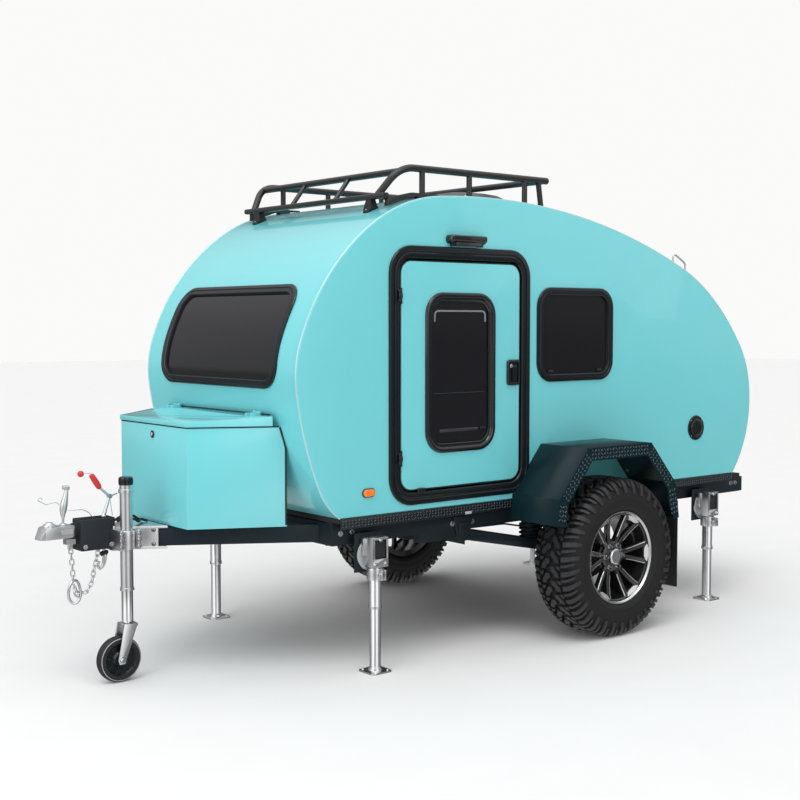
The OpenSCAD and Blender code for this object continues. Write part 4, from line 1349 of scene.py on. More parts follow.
@dataclass
class EntryDoor:
    """One side door: its frame in the body, the leaf, its window, latch and hinges."""

    side: Side
    face: float = 0.624
    thick: float = 0.032
    hinge_x: float = 1.1295 + AXLE_X
    hinge_y: float = 0.64
    hinge_z: tuple[float, float] = (0.895, 1.592)
    latch: Flat = (0.4485 + AXLE_X, 1.249)

    def build(self) -> None:
        """Builds the frame, the leaf and everything on it."""
        self.surround()
        self.leaf()
        self.window()
        self.latch_plate()
        self.hinges()
        self.clips()

    def surround(self) -> None:
        """Sweeps the doorway's frame: an outer band, a groove and an inner band."""
        shape = Shape(TRIM, SEAL)
        put = outward(self.side.value, SHELL.side)
        section = [
            (0.067, 0.0, 0), (0.067, 0.0065, 0), (0.0645, 0.0092, 0), (0.0615, 0.01, 0), (0.046, 0.01, 0),
            (0.0435, 0.0085, 0), (0.0425, 0.004, 1), (0.0375, 0.0036, 1), (0.0365, 0.0085, 0), (0.034, 0.01, 0),
            (0.019, 0.01, 0), (0.015, 0.0088, 0), (0.0125, 0.0055, 0), (0.0125, -0.024, 1), (0.037, -0.024, 1),
            (0.037, -0.0005, 1)
        ]
        shape.sweep(section, DOORWAY.ring, put)
        piece = shape.build(f"door_surround_{self.side.word}", 30.0)
        ridden(piece, "trailer", "black_trim", *(["door_frames"] if self.side is Side.LEFT else []))

    def leaf(self) -> None:
        """Builds the painted leaf with a rolled edge, its lining and its rubber."""
        shape = Shape(PAINT, LINING, SEAL)
        put = outward(self.side.value, self.face)
        cut = DOOR_LIGHT.ring(0.016)
        rolled = ((0.0, -self.thick), (0.0, -0.006), (-0.0009, -0.0026), (-0.0032, -0.0006), (-0.006, 0.0))
        shape.loft(tiers(put, DOORWAY.ring, rolled))
        shape.cap(DOORWAY.ring(-0.006), [cut], lambda u, v: put(u, v, 0.0))
        shape.cap(DOORWAY.ring(0.0), [cut], lambda u, v: put(u, v, -self.thick), 1)
        shape.loft([[put(u, v, t) for u, v in cut] for t in (-self.thick, 0.0)], 1)
        word = self.side.word
        ridden(shape.build(f"door_leaf_{word}", 40.0), f"door_{word}", "body", f"door_{word}")
        ring = [put(u, v, -0.0075) for u, v in DOORWAY.ring(0.003)]
        moulding(f"door_seal_{word}", [ring], 0.0032, SEAL, f"door_{word}", "rubber", closed=True, steps=8)

    def window(self) -> None:
        """Builds the door's window: a deep frame, its pane, a brow painted pale as a highlight line and two cross
        lines.
        """
        word = self.side.word
        put = outward(self.side.value, self.face)
        shape = Shape(GLOSS, SEAL)
        section = [
            (0.042, 0.0, 0), (0.0418, 0.004, 0), (0.04, 0.0078, 0), (0.0365, 0.0105, 0), (0.031, 0.0118, 0),
            (0.024, 0.0112, 0), (0.0185, 0.0085, 0), (0.015, 0.004, 0), (0.0135, 0.001, 1), (0.0105, 0.0006, 1),
            (0.009, 0.0024, 0), (0.0035, 0.003, 0), (0.0006, 0.001, 0), (0.0, -0.032, 1), (0.016, -0.032, 1),
            (0.016, -0.0005, 1)
        ]
        shape.sweep(section, DOOR_LIGHT.ring, put)
        ridden(shape.build(f"door_window_frame_{word}", 30.0), f"door_{word}", "black_trim", f"door_window_{word}")
        pane = Shape(GLASS)
        ring = DOOR_LIGHT.ring(0.001)
        for t in (-0.01, -0.005):
            pane.cap(ring, [], lambda u, v, t=t: put(u, v, t))
        pane.loft([[put(u, v, t) for u, v in ring] for t in (-0.01, -0.005)])
        ridden(pane.build(f"door_pane_{word}", 40.0), f"door_{word}", "tinted_glass", f"door_glass_{word}")
        bars = Shape(TRIM, GLOSS, PAINTED_HIGHLIGHT, SMOKE)
        s = self.side.value
        for z, half, tall in ((DOOR_LIGHT.z - 0.09, 0.158, 0.0012), (DOOR_LIGHT.z - 0.256, 0.12, 0.007)):
            bars.side_block(
                s, (DOOR_LIGHT.x - half + 0.01, DOOR_LIGHT.x + half), (self.face - 0.0055, self.face - 0.0036),
                (z - tall, z + tall), 3
            )
        # The brow runs under the pane's top edge; its pale finish is a painted highlight line.
        brow = filleted(
            [
                (DOOR_LIGHT.x + u, s * (self.face - 0.004), DOOR_LIGHT.z + v)
                for u, v in ((-0.15, 0.225), (-0.15, 0.272), (0.15, 0.272), (0.15, 0.225))
            ],
            0.028, 8
        )
        bars.tube(brow, 0.0042, 10, 2)
        bars.side_block(
            s, (DOOR_LIGHT.x - 0.15, DOOR_LIGHT.x - 0.118), (self.face - 0.0055, self.face + 0.0015),
            (DOOR_LIGHT.z - 0.262, DOOR_LIGHT.z - 0.248), 1
        )
        ridden(bars.build(f"door_window_bars_{word}", bevel=0.0008), f"door_{word}", "black_trim")

    def latch_plate(self) -> None:
        """Builds the latch: a rounded housing, a recessed paddle and a key cylinder."""
        x, z = self.latch
        put = outward(self.side.value, self.face)
        shape = Shape(GLOSS, TRIM, CHROME)
        steps = (
            (0.0, 0.0), (0.0, 0.0085), (-0.0018, 0.0112), (-0.004, 0.012), (-0.01, 0.012), (-0.0115, 0.011),
            (-0.0125, 0.0045)
        )
        shape.domed(tiers(put, Opening(x, z, 0.078, 0.118, 0.015).ring, steps), 0, 1)
        paddle = Opening(x - 0.006, z - 0.006, 0.032, 0.074, 0.007)
        shape.domed(tiers(put, paddle.ring, ((0.0, 0.004), (0.0, 0.0095), (-0.0025, 0.0115))))
        shape.lathe(
            [(0.0085, 0.004), (0.0085, 0.0102), (0.007, 0.0112), (0.0026, 0.0112), (0.0022, 0.0098), (0.0, 0.0098)],
            along_y(x + 0.016, self.side.value * self.face, z + 0.03, self.side.value), 24, 2
        )
        word = self.side.word
        ridden(shape.build(f"door_latch_{word}", 30.0), f"door_{word}", "black_trim")

    def hinges(self) -> None:
        """Builds the slim hinges: knuckles and leaves on the leaf and the frame."""
        word = self.side.word
        s = self.side.value
        moving, fixed = Shape(TRIM), Shape(TRIM)
        for z in self.hinge_z:
            pin = upright(self.hinge_x, s * self.hinge_y, z)
            moving.lathe(
                [
                    (0.0046, -0.0115), (0.0078, -0.0115), (0.0082, -0.0105), (0.0082, 0.0105), (0.0078, 0.0115),
                    (0.0046, 0.0115)
                ],
                pin, 20
            )
            skin, reach = (self.face - 0.001, self.face + 0.0035), self.hinge_y + 0.002
            moving.side_block(s, (self.hinge_x - 0.022, self.hinge_x - 0.0165), skin, (z - 0.034, z + 0.034))
            moving.side_block(s, (self.hinge_x - 0.022, self.hinge_x - 0.008), skin, (z - 0.0115, z + 0.0115))
            moving.side_block(
                s, (self.hinge_x - 0.0125, self.hinge_x - 0.005), (self.face - 0.001, reach), (z - 0.0115, z + 0.0115)
            )
            for e in (-0.019, 0.019):
                fixed.lathe(
                    [
                        (0.004, e - 0.006), (0.0078, e - 0.006), (0.0082, e - 0.005), (0.0082, e + 0.005),
                        (0.0078, e + 0.006), (0.004, e + 0.006)
                    ],
                    pin, 20
                )
                fixed.side_block(
                    s, (self.hinge_x + 0.003, self.hinge_x + 0.0095), (SHELL.side + 0.0095, reach),
                    (z + e - 0.006, z + e + 0.006)
                )
            fixed.side_block(
                s, (self.hinge_x + 0.003, self.hinge_x + 0.016), (SHELL.side + 0.009, SHELL.side + 0.0135),
                (z - 0.03, z + 0.03)
            )
            fixed.lathe([(0.0, -0.028), (0.0038, -0.0275), (0.004, 0.0275), (0.0, 0.028)], pin, 16)
        ridden(moving.build(f"door_hinge_leaf_{word}", bevel=0.0007), f"door_{word}", "black_trim")
        ridden(fixed.build(f"door_hinge_mount_{word}", bevel=0.0007), "trailer", "black_trim")

    def clips(self) -> None:
        """Adds the small clip at the frame's lower front corner."""
        shape = Shape(GLOSS)
        x, z = DOORWAY.x + 0.245, DOORWAY.z - 0.499
        shape.side_block(
            self.side.value, (x - 0.022, x + 0.022), (SHELL.side + 0.008, SHELL.side + 0.013), (z - 0.01, z + 0.01)
        )
        ridden(shape.build(f"door_clip_{self.side.word}", bevel=0.002), "trailer", "black_trim")


# ---------------------------------------------------------------- running gear


@dataclass
class RoadWheel:
    """A mud tyre on a six-spoke rim with machined faces, on its hub and drum."""

    side: Side
    middle_y: float = 0.795
    axle_z: float = 0.375
    radius: float = 0.375
    half: float = 0.125
    lugs: int = 34
    spokes: int = 6

    def build(self) -> None:
        """Builds the tyre, the rim, the nuts and the hub."""
        self.tyre()
        self.treads()
        self.rim_barrel()
        self.spoke_set()
        self.nuts()
        self.hub()

    @property
    def body(self) -> str:
        """The body that the wheel's pieces ride on."""
        return f"wheel_{self.side.word}"

    @property
    def place(self) -> Matrix:
        """A placing with Z along the axle, outwards."""
        return along_y(AXLE_X, self.side.value * self.middle_y, self.axle_z, self.side.value)

    @property
    def centre(self) -> Vector:
        """The wheel's middle."""
        return Vector((AXLE_X, self.side.value * self.middle_y, self.axle_z))

    def tyre(self) -> None:
        """Turns the tyre's carcass, with rings on its walls."""
        wall = [
            (0.2055, 0.0), (0.2055, 0.0965), (0.2205, 0.099), (0.2235, 0.105), (0.227, 0.1105), (0.23, 0.1115),
            (0.2335, 0.1145), (0.238, 0.116), (0.245, 0.1185), (0.2475, 0.1198), (0.25, 0.119), (0.262, 0.1207),
            (0.278, 0.1218), (0.284, 0.1226), (0.2865, 0.1215), (0.298, 0.1208), (0.309, 0.1195), (0.32, 0.1155),
            (0.333, 0.111), (0.344, 0.106), (0.351, 0.096), (0.355, 0.082), (0.357, 0.05), (0.3575, 0.0)
        ]
        shape = Shape(TYRE)
        profile = [*wall[1:], *((r, -h) for r, h in reversed(wall[1:-1])), wall[1]]
        shape.lathe(profile, self.place, 96)
        ridden(shape.build(f"tyre_carcass_{self.side.word}", 50.0), self.body, "tyre", f"tyre_{self.side.word}")

    def _block(
        self, plan: Sequence[tuple[float, float]], low: float, top: float, shape: Shape, crown: float = 0.0
    ) -> None:
        """Adds one tread block from its plan of (round the tyre, across) in metres."""

        def put(u: float, v: float, r: float) -> Spot:
            a = u / self.radius
            r -= crown * (v / self.half) ** 2
            return r * math.sin(a), v, r * math.cos(a)

        cu, cv = (sum(p[i] for p in plan) / len(plan) for i in (0, 1))
        rows = []
        for shrink, r in ((1.0, low), (0.97, top - 0.0015), (0.92, top)):
            rows.append([put(cu + (u - cu) * shrink, cv + (v - cv) * shrink, r) for u, v in plan])
        shape.domed(rows)

    def treads(self) -> None:
        """Repeats the tread's blocks round the tyre, the two halves half a pitch apart."""
        pitch = math.tau * self.radius / self.lugs
        for hand, name in ((1.0, "outer"), (-1.0, "inner")):
            # The blocks take the lighter rubber, a painted light on the tread.
            part = Shape(LIT_TREAD)
            flip = hand * self.side.value
            centre = [
                (-0.36, 0.003), (-0.04, 0.002), (0.12, 0.02), (0.36, 0.03), (0.39, 0.053), (0.08, 0.05),
                (-0.12, 0.034), (-0.38, 0.025)
            ]
            self._block([(u * pitch, v * flip) for u, v in centre], 0.353, 0.375, part, 0.001)
            nub = [(-0.44, 0.036), (-0.2, 0.046), (-0.16, 0.062), (-0.42, 0.06)]
            self._block([(u * pitch, v * flip) for u, v in nub], 0.353, 0.3742, part, 0.001)
            self._shoulder(part, pitch, flip)
            block = part.build(f"tread_{name}_part_{self.side.word}", 30.0)
            start = 0.0 if hand > 0 else math.pi / self.lugs
            base = wire(f"tread_{name}_seed_{self.side.word}", [[(0, 0, 0), (0, 0, 0.001)]])
            made = RECIPES.ring.run(
                base, f"tread_{name}_{self.side.word}", LIT_TREAD, 30.0, Part=block, Count=self.lugs, Start=start,
                Centre=tuple(self.centre)
            )
            bpy.data.objects.remove(block)
            ridden(made, self.body, "tyre")

    def _shoulder(self, part: Shape, pitch: float, flip: float) -> None:
        """Adds the long shoulder lug that turns down the wall, and a short one beside it."""
        for long, shift, wide in ((True, -0.06, 0.4), (False, 0.41, 0.22)):
            path = [
                (0.068, 0.3738), (0.094, 0.37), (0.108, 0.36), (0.1178, 0.342), (0.1225, 0.326 if long else 0.338)
            ]
            if long:
                path.append((0.1243, 0.306))
            rows = []
            count = len(path)
            for i, (v, r) in enumerate(path):
                lean = (0.16 - 0.26 * i / (count - 1)) * pitch
                half = wide * pitch / 2 * (1.0 - 0.1 * i / (count - 1))
                inset_r = 0.018 if i < 2 else 0.005
                inset_v = 0.0 if i < 2 else 0.014
                row = []
                for u, raised in ((-half, False), (-half * 0.84, True), (half * 0.84, True), (half, False)):
                    a = (u + lean + shift * pitch) / self.radius
                    rr = r if raised else r - inset_r
                    vv = v if raised else v - inset_v
                    row.append((rr * math.sin(a), vv * flip, rr * math.cos(a)))
                rows.append(row)
            made = part.loft(rows, closed=False)
            part.face(made[0])
            part.face(list(reversed(made[-1])))

    def rim_barrel(self) -> None:
        """Turns the rim's barrel, its lip ring and the centre boss."""
        shape = Shape(RIM, MACHINED, GLOSS, ZINC)
        barrel = [
            (0.1905, -0.098), (0.219, -0.105), (0.22, -0.1035), (0.2195, -0.0985), (0.2045, -0.097), (0.2045, 0.097),
            (0.2195, 0.099), (0.2202, 0.103), (0.219, 0.1058), (0.215, 0.106), (0.212, 0.102), (0.2055, 0.093),
            (0.199, 0.088), (0.196, 0.07), (0.19, 0.05), (0.182, 0.02), (0.186, -0.06), (0.1905, -0.098)
        ]
        shape.lathe(barrel, self.place, 72, [0] * 6 + [1] * 5 + [0] * 6)
        boss = [
            (0.07, 0.026), (0.072, 0.04), (0.07, 0.052), (0.064, 0.056), (0.046, 0.0575), (0.04, 0.06),
            (0.0385, 0.068)
        ]
        cap = [(0.0385, 0.066), (0.036, 0.0725), (0.031, 0.075), (0.03, 0.0738), (0.012, 0.0745), (0.0, 0.0748)]
        shape.lathe(boss, self.place, 48, 0)
        shape.lathe(cap, self.place, 48, [1, 1, 2, 3, 3])
        ridden(shape.build(f"rim_barrel_{self.side.word}", 34.0), self.body, "rim", f"rim_{self.side.word}")

    def spoke_set(self) -> None:
        """Repeats the split spokes: dark sides, bright edges and a bright pad at the lip."""
        part = Shape(RIM, MACHINED)
        s = self.side.value

        def put(radius: float, across: float, out: float) -> Spot:
            return across, s * out, radius

        dark = ((-1.0, 0.024), (-1.0, 0.003), (-0.4, 0.0), (0.7, 0.0), (1.0, 0.003), (1.1, 0.024))
        bright = ((0.52, 0.0004), (0.54, -0.0007), (0.76, -0.0005), (0.86, 0.0014))
        for hand in (-1.0, 1.0):
            spine = [
                (0.06, 0.012, 0.052, 0.011), (0.09, 0.016, 0.057, 0.0112), (0.13, 0.025, 0.066, 0.0118),
                (0.17, 0.036, 0.078, 0.0125), (0.198, 0.044, 0.089, 0.0135)
            ]
            rows, edge = [], []
            for radius, across, out, half in spine:
                rows.append([put(radius, hand * (across + half * k), out - down) for k, down in dark])
                if radius > 0.07:
                    edge.append([put(radius, hand * (across + half * k), out - down) for k, down in bright])
            if hand < 0:
                rows, edge = [r[::-1] for r in rows], [r[::-1] for r in edge]
            part.loft_solid(rows, 0)
            part.loft_solid(edge, 1)
        pad = []
        for radius, half, out in (
            (0.186, 0.018, 0.0868), (0.193, 0.034, 0.0905), (0.2, 0.043, 0.0945), (0.2085, 0.046, 0.099)
        ):
            pad.append(
                [put(radius, half * k, out - down) for k, down in ((-1, 0.01), (-1, 0.0), (1, 0.0), (1, 0.01))]
            )
        part.loft_solid(pad, 1)
        piece = part.build(f"spoke_part_{self.side.word}", 30.0)
        seeds_of = [
            Matrix.Translation(self.centre) @ Matrix.Rotation(math.tau * (i + 0.5) / self.spokes, 4, "Y")
            for i in range(self.spokes)
        ]
        for index, (finish, name) in enumerate(((RIM, "spokes"), (MACHINED, "spoke_faces"))):
            half = only_finish(piece, index, f"{name}_part_{self.side.word}")
            made = RECIPES.parts.run(
                seeds(f"{name}_seeds", seeds_of), f"{name}_{self.side.word}", finish, 30.0, Part=half, Scale=1.0
            )
            bpy.data.objects.remove(half)
            ridden(made, self.body, "rim")
        bpy.data.objects.remove(piece)

    def nuts(self) -> None:
        """Puts chrome nuts round the cap."""
        places = []
        for i in range(self.spokes):
            places.append(self.place @ Matrix.Translation(on_circle(math.tau * i / self.spokes, 0.056, 0.0555)))
        bolts(f"wheel_nuts_{self.side.word}", places, 0.0085, 0.014, CHROME, self.body, "rim")

    def hub(self) -> None:
        """Turns the hub, its flange and the brake drum with cooling ribs."""
        shape = Shape(IRON)
        drum = [(0.0, -0.139), (0.112, -0.139), (0.12, -0.134), (0.122, -0.128)]
        for i in range(4):
            z = -0.124 + i * 0.009
            drum += [(0.122, z), (0.122, z + 0.004), (0.118, z + 0.005), (0.118, z + 0.008)]
        drum += [
            (0.122, -0.086), (0.115, -0.081), (0.06, -0.079), (0.044, -0.072), (0.044, 0.024), (0.079, 0.0262),
            (0.08, 0.0285), (0.08, 0.036), (0.078, 0.0378), (0.029, 0.038), (0.029, 0.027), (0.0, 0.027)
        ]
        shape.lathe(drum, self.place, 56)
        ridden(shape.build(f"brake_drum_{self.side.word}", 34.0), self.body, "hub", f"hub_{self.side.word}")


def only_finish(piece: bpy.types.Object, index: int, name: str) -> bpy.types.Object:
    """Copies the faces of a piece that have one finish.

    Args:
        piece: The piece.
        index: The finish's place in the piece's list.
        name: The copy's name.

    Returns:
        The copy.
    """
    mesh = piece.data.copy()
    work = bmesh.new()
    work.from_mesh(mesh)
    bmesh.ops.delete(work, geom=[f for f in work.faces if f.material_index != index], context="FACES")
    work.to_mesh(mesh)
    work.free()
    made = bpy.data.objects.new(name, mesh)
    bpy.context.scene.collection.objects.link(made)
    return made


@dataclass
class Fenders:
    """The folded wheel guards with a lozenge plate along their lips, and the flaps behind."""

    line: tuple[Flat, ...] = (
        (0.456, 0.569), (0.439, 0.688), (0.254, 0.908), (-0.188, 0.908), (-0.37, 0.704), (-0.4, 0.53)
    )
    outer: float = 0.92
    rows: int = 3
    pitch: float = 0.02
    plate: float = 0.0013

    def build(self) -> None:
        """Builds the guards, their lozenges, their fixings and the flaps."""
        for vertex in refined("fenders", FENDER, "trailer", "fender", 0.0022, 28.0).data.vertices:
            if abs(vertex.co.y) > self.outer - self.plate:
                vertex.co.y = math.copysign(self.outer - self.plate, vertex.co.y)
        self.lozenges()
        self.fixings()
        self.flaps()

    def spans(self) -> list[tuple[Vector, Vector, float, Vector]]:
        """Gives each straight run of the lip: start, way, length and inward way."""
        made = []
        for (ax, az), (bx, bz) in zip(self.line, self.line[1:]):
            a, b = Vector((ax + AXLE_X, 0, az)), Vector((bx + AXLE_X, 0, bz))
            way = (b - a).normalized()
            made.append((a, way, (b - a).length, Vector((-way.z, 0, way.x))))
        return made

    def lozenges(self) -> None:
        """Lays crossed lozenges along each lip."""
        places = []
        for s in SIGNS:
            for start, way, length, inward in self.spans():
                count = max(int(length / self.pitch), 2)
                turn = math.atan2(way.z, way.x)
                for i in range(count):
                    for j in range(self.rows):
                        along = length * (i + 0.5) / count
                        if along < 0.012 or along > length - 0.012:
                            continue
                        at = start + way * along + inward * (0.0125 + 0.0175 * j)
                        at.y = s * (self.outer - self.plate)
                        lean = math.radians(45 if (i + j) % 2 else -45)
                        places.append(
                            Matrix.Translation(at) @ Matrix.Rotation(-turn - lean, 4, "Y") @ Matrix.Rotation(
                                math.radians(-90 * s), 4, "X"
                            )
                        )
        lay_lozenges("fender_lozenges", places, 0.0165, 0.0048, self.plate, LOZENGE, "fender")

    def fixings(self) -> None:
        """Bolts the guards' inner edges to the body's side."""
        places = []
        for s in SIGNS:
            for start, way, length, inward in self.spans()[1:4]:
                for q in (0.2, 0.8):
                    at = start + way * (length * q) + inward * 0.004
                    at.y = s * 0.65
                    places.append(facing(at, inward))
        bolts("fender_bolts", places, 0.006, 0.0045, ZINC, "trailer", "fender")

    def flaps(self) -> None:
        """Builds the rubber flaps with ribs and a clamp bar."""
        refined("mudflaps", SEAL, "trailer", "rubber", 0.0012)
        shape = Shape(UNDER)
        low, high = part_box("mudflaps")
        for s in SIGNS:
            shape.side_block(s, (high.x - 0.0005, high.x + 0.003), (0.7, 0.86), (high.z - 0.03, high.z - 0.004))
        ridden(shape.build("flap_clamps", bevel=0.0008), "trailer", "rubber")
        ribs = []
        for s in SIGNS:
            for k in range(6):
                y = s * (0.715 + 0.027 * k)
                ribs.append([(high.x + 0.0004, y, low.z + 0.02), (high.x + 0.0004, y, high.z - 0.045)])
        moulding("flap_ribs", ribs, 0.0018, SEAL, "trailer", "rubber", steps=6)


def lay_lozenges(
    name: str, places: Sequence[Matrix], length: float, width: float, height: float, finish: Finish, slot: str
) -> None:
    """Puts small raised lozenges of tread plate on seeds.

    Args:
        name: The piece's name.
        places: Where each lies, its Z outwards and its X along the lozenge.
        length: Its length.
        width: Its width.
        height: How far it stands proud.
        finish: Its finish.
        slot: The record's material slot.
    """
    part = Shape(finish)
    plan = [(0.5, 0.0), (0.22, 0.5), (-0.22, 0.5), (-0.5, 0.0), (-0.22, -0.5), (0.22, -0.5)]
    rows = [[(u * length * k, v * width * k, t) for u, v in plan] for k, t in ((1.0, -0.0004), (0.72, height))]
    part.domed(rows)
    block = part.build(f"{name}_part", 30.0)
    piece = RECIPES.parts.run(seeds(f"{name}_seeds", places), name, finish, 30.0, Part=block, Scale=1.0)
    bpy.data.objects.remove(block)
    ridden(piece, "trailer", slot)


@dataclass
class Underframe:
    """Rails, drawbar, floor, trailing arms and the lozenge skirt along the body's foot."""

    skirt_y: float = 0.621
    cable: tuple[Spot, ...] = (
        (1.4, 0.47, 0.532), (0.9, 0.475, 0.528), (0.35, 0.47, 0.518), (0.1, 0.5, 0.47), (0.02, 0.6, 0.44)
    )

    def build(self) -> None:
        """Builds the steelwork and what is fixed to it."""
        for node, finish, slot, bevel in (
            ("chassis_frame", SLATE, "chassis", 0.0022),
            ("drawbar", SLATE, "chassis", 0.003),
            ("floor_panel", UNDER, "underfloor", 0.001),
            ("trailing_arms", SLATE, "chassis", 0.0025),
            ("skirt_trims", TRIM, "skirt", 0.001),
        ):
            refined(node, finish, "trailer", slot, bevel)
        self.skirt()
        self.bolting()
        self.marker()

    def skirt(self) -> None:
        """Lays the zigzag of lozenges along the skirts."""
        places = []
        low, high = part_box("skirt_trims")
        count = int((high.x - low.x) / 0.017)
        for s in SIGNS:
            for i in range(count):
                x = low.x + 0.012 + i * (high.x - low.x - 0.024) / (count - 1)
                for j, z in enumerate((0.6285, 0.64, 0.6515)):
                    lean = math.radians(42 if (i + j) % 2 else -42)
                    if z > SHELL.floor_at(x) - 0.009:
                        continue
                    places.append(
                        Matrix.Translation(
                            (x, s * (self.skirt_y - 0.0002), z)
                        ) @ Matrix.Rotation(lean, 4, "Y") @ Matrix.Rotation(math.radians(-90 * s), 4, "X")
                    )
        lay_lozenges("skirt_lozenges", places, 0.013, 0.0042, 0.0009, LOZENGE, "skirt")

    def bolting(self) -> None:
        """Bolts the arms, their pivots and the rails' ends, and lays the brake cable."""
        places = []
        for s in SIGNS:
            places.append(along_y(0.7 + AXLE_X, s * 0.56, 0.515, s))
            for x in (-1.34, -1.3, 1.33, 1.39):
                places.append(along_y(x + AXLE_X, s * 0.56, 0.591, s))
            for x in (0.64, 0.76, -0.12, 0.12):
                places.append(along_y(x + AXLE_X, s * 0.56, 0.57, s))
        bolts("frame_bolts", places, 0.0085, 0.007, ZINC, "trailer", "chassis")
        shape = Shape(SLATE)
        for s in SIGNS:
            plate = [(0.64, 0.6), (0.76, 0.6), (0.735, 0.5), (0.7, 0.478), (0.665, 0.5)]
            rows = [[(x + AXLE_X, s * y, z) for x, z in plate] for y in (0.5605, 0.5665)]
            shape.loft_solid(rows)
            shape.tube([(0.235 + AXLE_X, s * 0.535, z) for z in (0.44, 0.545)], 0.046, 24)
            coil = [
                (0.235 + AXLE_X + 0.052 * math.cos(a), s * 0.535 + 0.052 * math.sin(a), 0.436 + 0.1 * i / 96)
                for i, a in ((i, math.tau * 5 * i / 96) for i in range(97))
            ]
            shape.tube(coil, 0.0058, 8)
        ridden(shape.build("pivot_plates", bevel=0.001), "trailer", "chassis")
        paths = []
        for s in SIGNS:
            paths.append(filleted([(x + AXLE_X, s * y, z) for x, y, z in self.cable], 0.12, 8))
        moulding("brake_cables", paths, 0.0042, SEAL, "trailer", "chassis", steps=8)

    def marker(self) -> None:
        """Adds the small pale reflector on the skirt."""
        shape = Shape(OPAL, TRIM)
        for s in SIGNS:
            shape.side_block(s, (0.7 + AXLE_X, 0.738 + AXLE_X), (0.6205, 0.6235), (0.618, 0.63))
        ridden(shape.build("skirt_reflectors", bevel=0.0008), "trailer", "skirt")


# ---------------------------------------------------------------- roof, box and lamps


def roof_z(x: float) -> float:
    """The height of the roof's skin at a length."""
    return SHELL.at(SHELL.roof_heading(x))[1]


@dataclass
class RoofRack:
    """The bent-tube rack: two hoops, cross rails, uprights and a flat bar at the front."""

    rail_y: float = 0.54
    rail_z: float = 2.1495
    nose: float = 1.06 + AXLE_X
    back: float = 0.16 + AXLE_X
    tube: float = 0.016
    bar_y: float = 0.44
    bar_heading: float = 157.5
    bar_rise: float = 0.053
    posts: tuple[float, ...] = (0.925, 0.646, 0.295, 0.205)

    def build(self) -> None:
        """Builds the rack and its feet."""
        shape = Shape(RACK)
        bar_x, bar_z = SHELL.at(self.bar_heading, -self.bar_rise)
        for s in SIGNS:
            hoop = [
                (self.back - 0.012, s * self.rail_y, self.rail_z), (self.nose - 0.01, s * self.rail_y, self.rail_z),
                (bar_x, s * (self.bar_y + 0.045), bar_z)
            ]
            shape.tube(filleted(hoop, 0.15, 14), self.tube, 20)
            for x in self.posts:
                x += AXLE_X
                lean = 0.02 if x < 0.25 + AXLE_X else 0.0
                shape.tube(
                    [(x - lean, s * self.rail_y, roof_z(x) + 0.006), (x, s * self.rail_y, self.rail_z - 0.004)],
                    self.tube - 0.003, 14
                )
            shape.tube(
                [(bar_x - 0.004, s * 0.17, bar_z), (self.nose - 0.012, s * 0.17, self.rail_z - 0.022)],
                self.tube - 0.005, 14
            )
        for x, z in ((self.nose - 0.014, self.rail_z - 0.018), (self.back, self.rail_z)):
            shape.tube([(x, 0.006 - self.rail_y, z), (x, self.rail_y - 0.006, z)], self.tube - 0.001, 18)
        ridden(shape.build("rack_tubes", 40.0), "trailer", "rack", "roof_rack")
        self.bar(bar_x, bar_z)
        self.feet(bar_x)

    def bar(self, bar_x: float, bar_z: float) -> None:
        """Builds the flat bar that carries the hoops' front ends."""
        shape = Shape(RACK)
        ends = 0.548
        rows = [
            [(bar_x + u, y, bar_z + v) for u, v in rounded(0, 0, 0.034, 0.024, 0.008, steps=4)] for y in (-ends, ends)
        ]
        shape.loft_solid(rows)
        for s in SIGNS:
            back = bar_x - 0.3
            low, high = sorted((s * 0.522, s * 0.546))
            rows = []
            for y in (low, high):
                rows.append(
                    [
                        (x, y, roof_z(x) + t)
                        for x, t in ((bar_x - 0.012, 0.008), (bar_x - 0.15, 0.01), (back, 0.006))
                    ] + [
                        (x, y, roof_z(x) + t)
                        for x, t in ((back, 0.012), (bar_x - 0.15, 0.03), (bar_x - 0.012, 0.044))
                    ]
                )
            shape.loft_solid(rows)
        ridden(shape.build("rack_front_bar", bevel=0.0018), "trailer", "rack")

    def _riser(self, shape: Shape, bar_x: float, y: float) -> None:
        """Adds the wedge that lifts the flat bar off the skin."""
        top = SHELL.at(self.bar_heading, -self.bar_rise)[1] - 0.008
        rows = []
        for half, z in (
            (0.024, roof_z(bar_x) + 0.002), (0.022, roof_z(bar_x) + 0.016), (0.016, top - 0.006), (0.016, top)
        ):
            rows.append([(u, v, z) for u, v in rounded(bar_x - 0.002, y, half * 2, half * 2.2, 0.005, steps=3)])
        shape.loft_solid(rows)

    def feet(self, bar_x: float) -> None:
        """Builds the clamps under the bar and the pads under the uprights."""
        shape = Shape(SEAL)
        places = []
        for s in SIGNS:
            spots = [(x + AXLE_X, self.rail_y) for x in self.posts] + [(bar_x - 0.002, self.bar_y)]
            self._riser(shape, bar_x, s * self.bar_y)
            for x, y in spots:
                heading = SHELL.roof_heading(x)
                px, pz = SHELL.at(heading, 0.0)
                a = math.radians(heading)
                out = Vector((math.sin(a), 0, -math.cos(a)))
                place = facing((px, s * y, pz), out)
                rows = [
                    [place @ Vector((u, v, t)) for u, v in rounded(0, 0, 0.064, 0.042, 0.008, g, 3)]
                    for g, t in ((0.0, -0.001), (0.0, 0.005), (-0.003, 0.009), (-0.009, 0.012))
                ]
                shape.loft_solid(rows)
                for u in (-0.022, 0.022):
                    places.append(place @ Matrix.Translation((u, 0.0, 0.0085)))
        ridden(shape.build("rack_feet", 30.0), "trailer", "rack")
        bolts("rack_bolts", places, 0.0045, 0.0045, ZINC, "trailer", "rack")


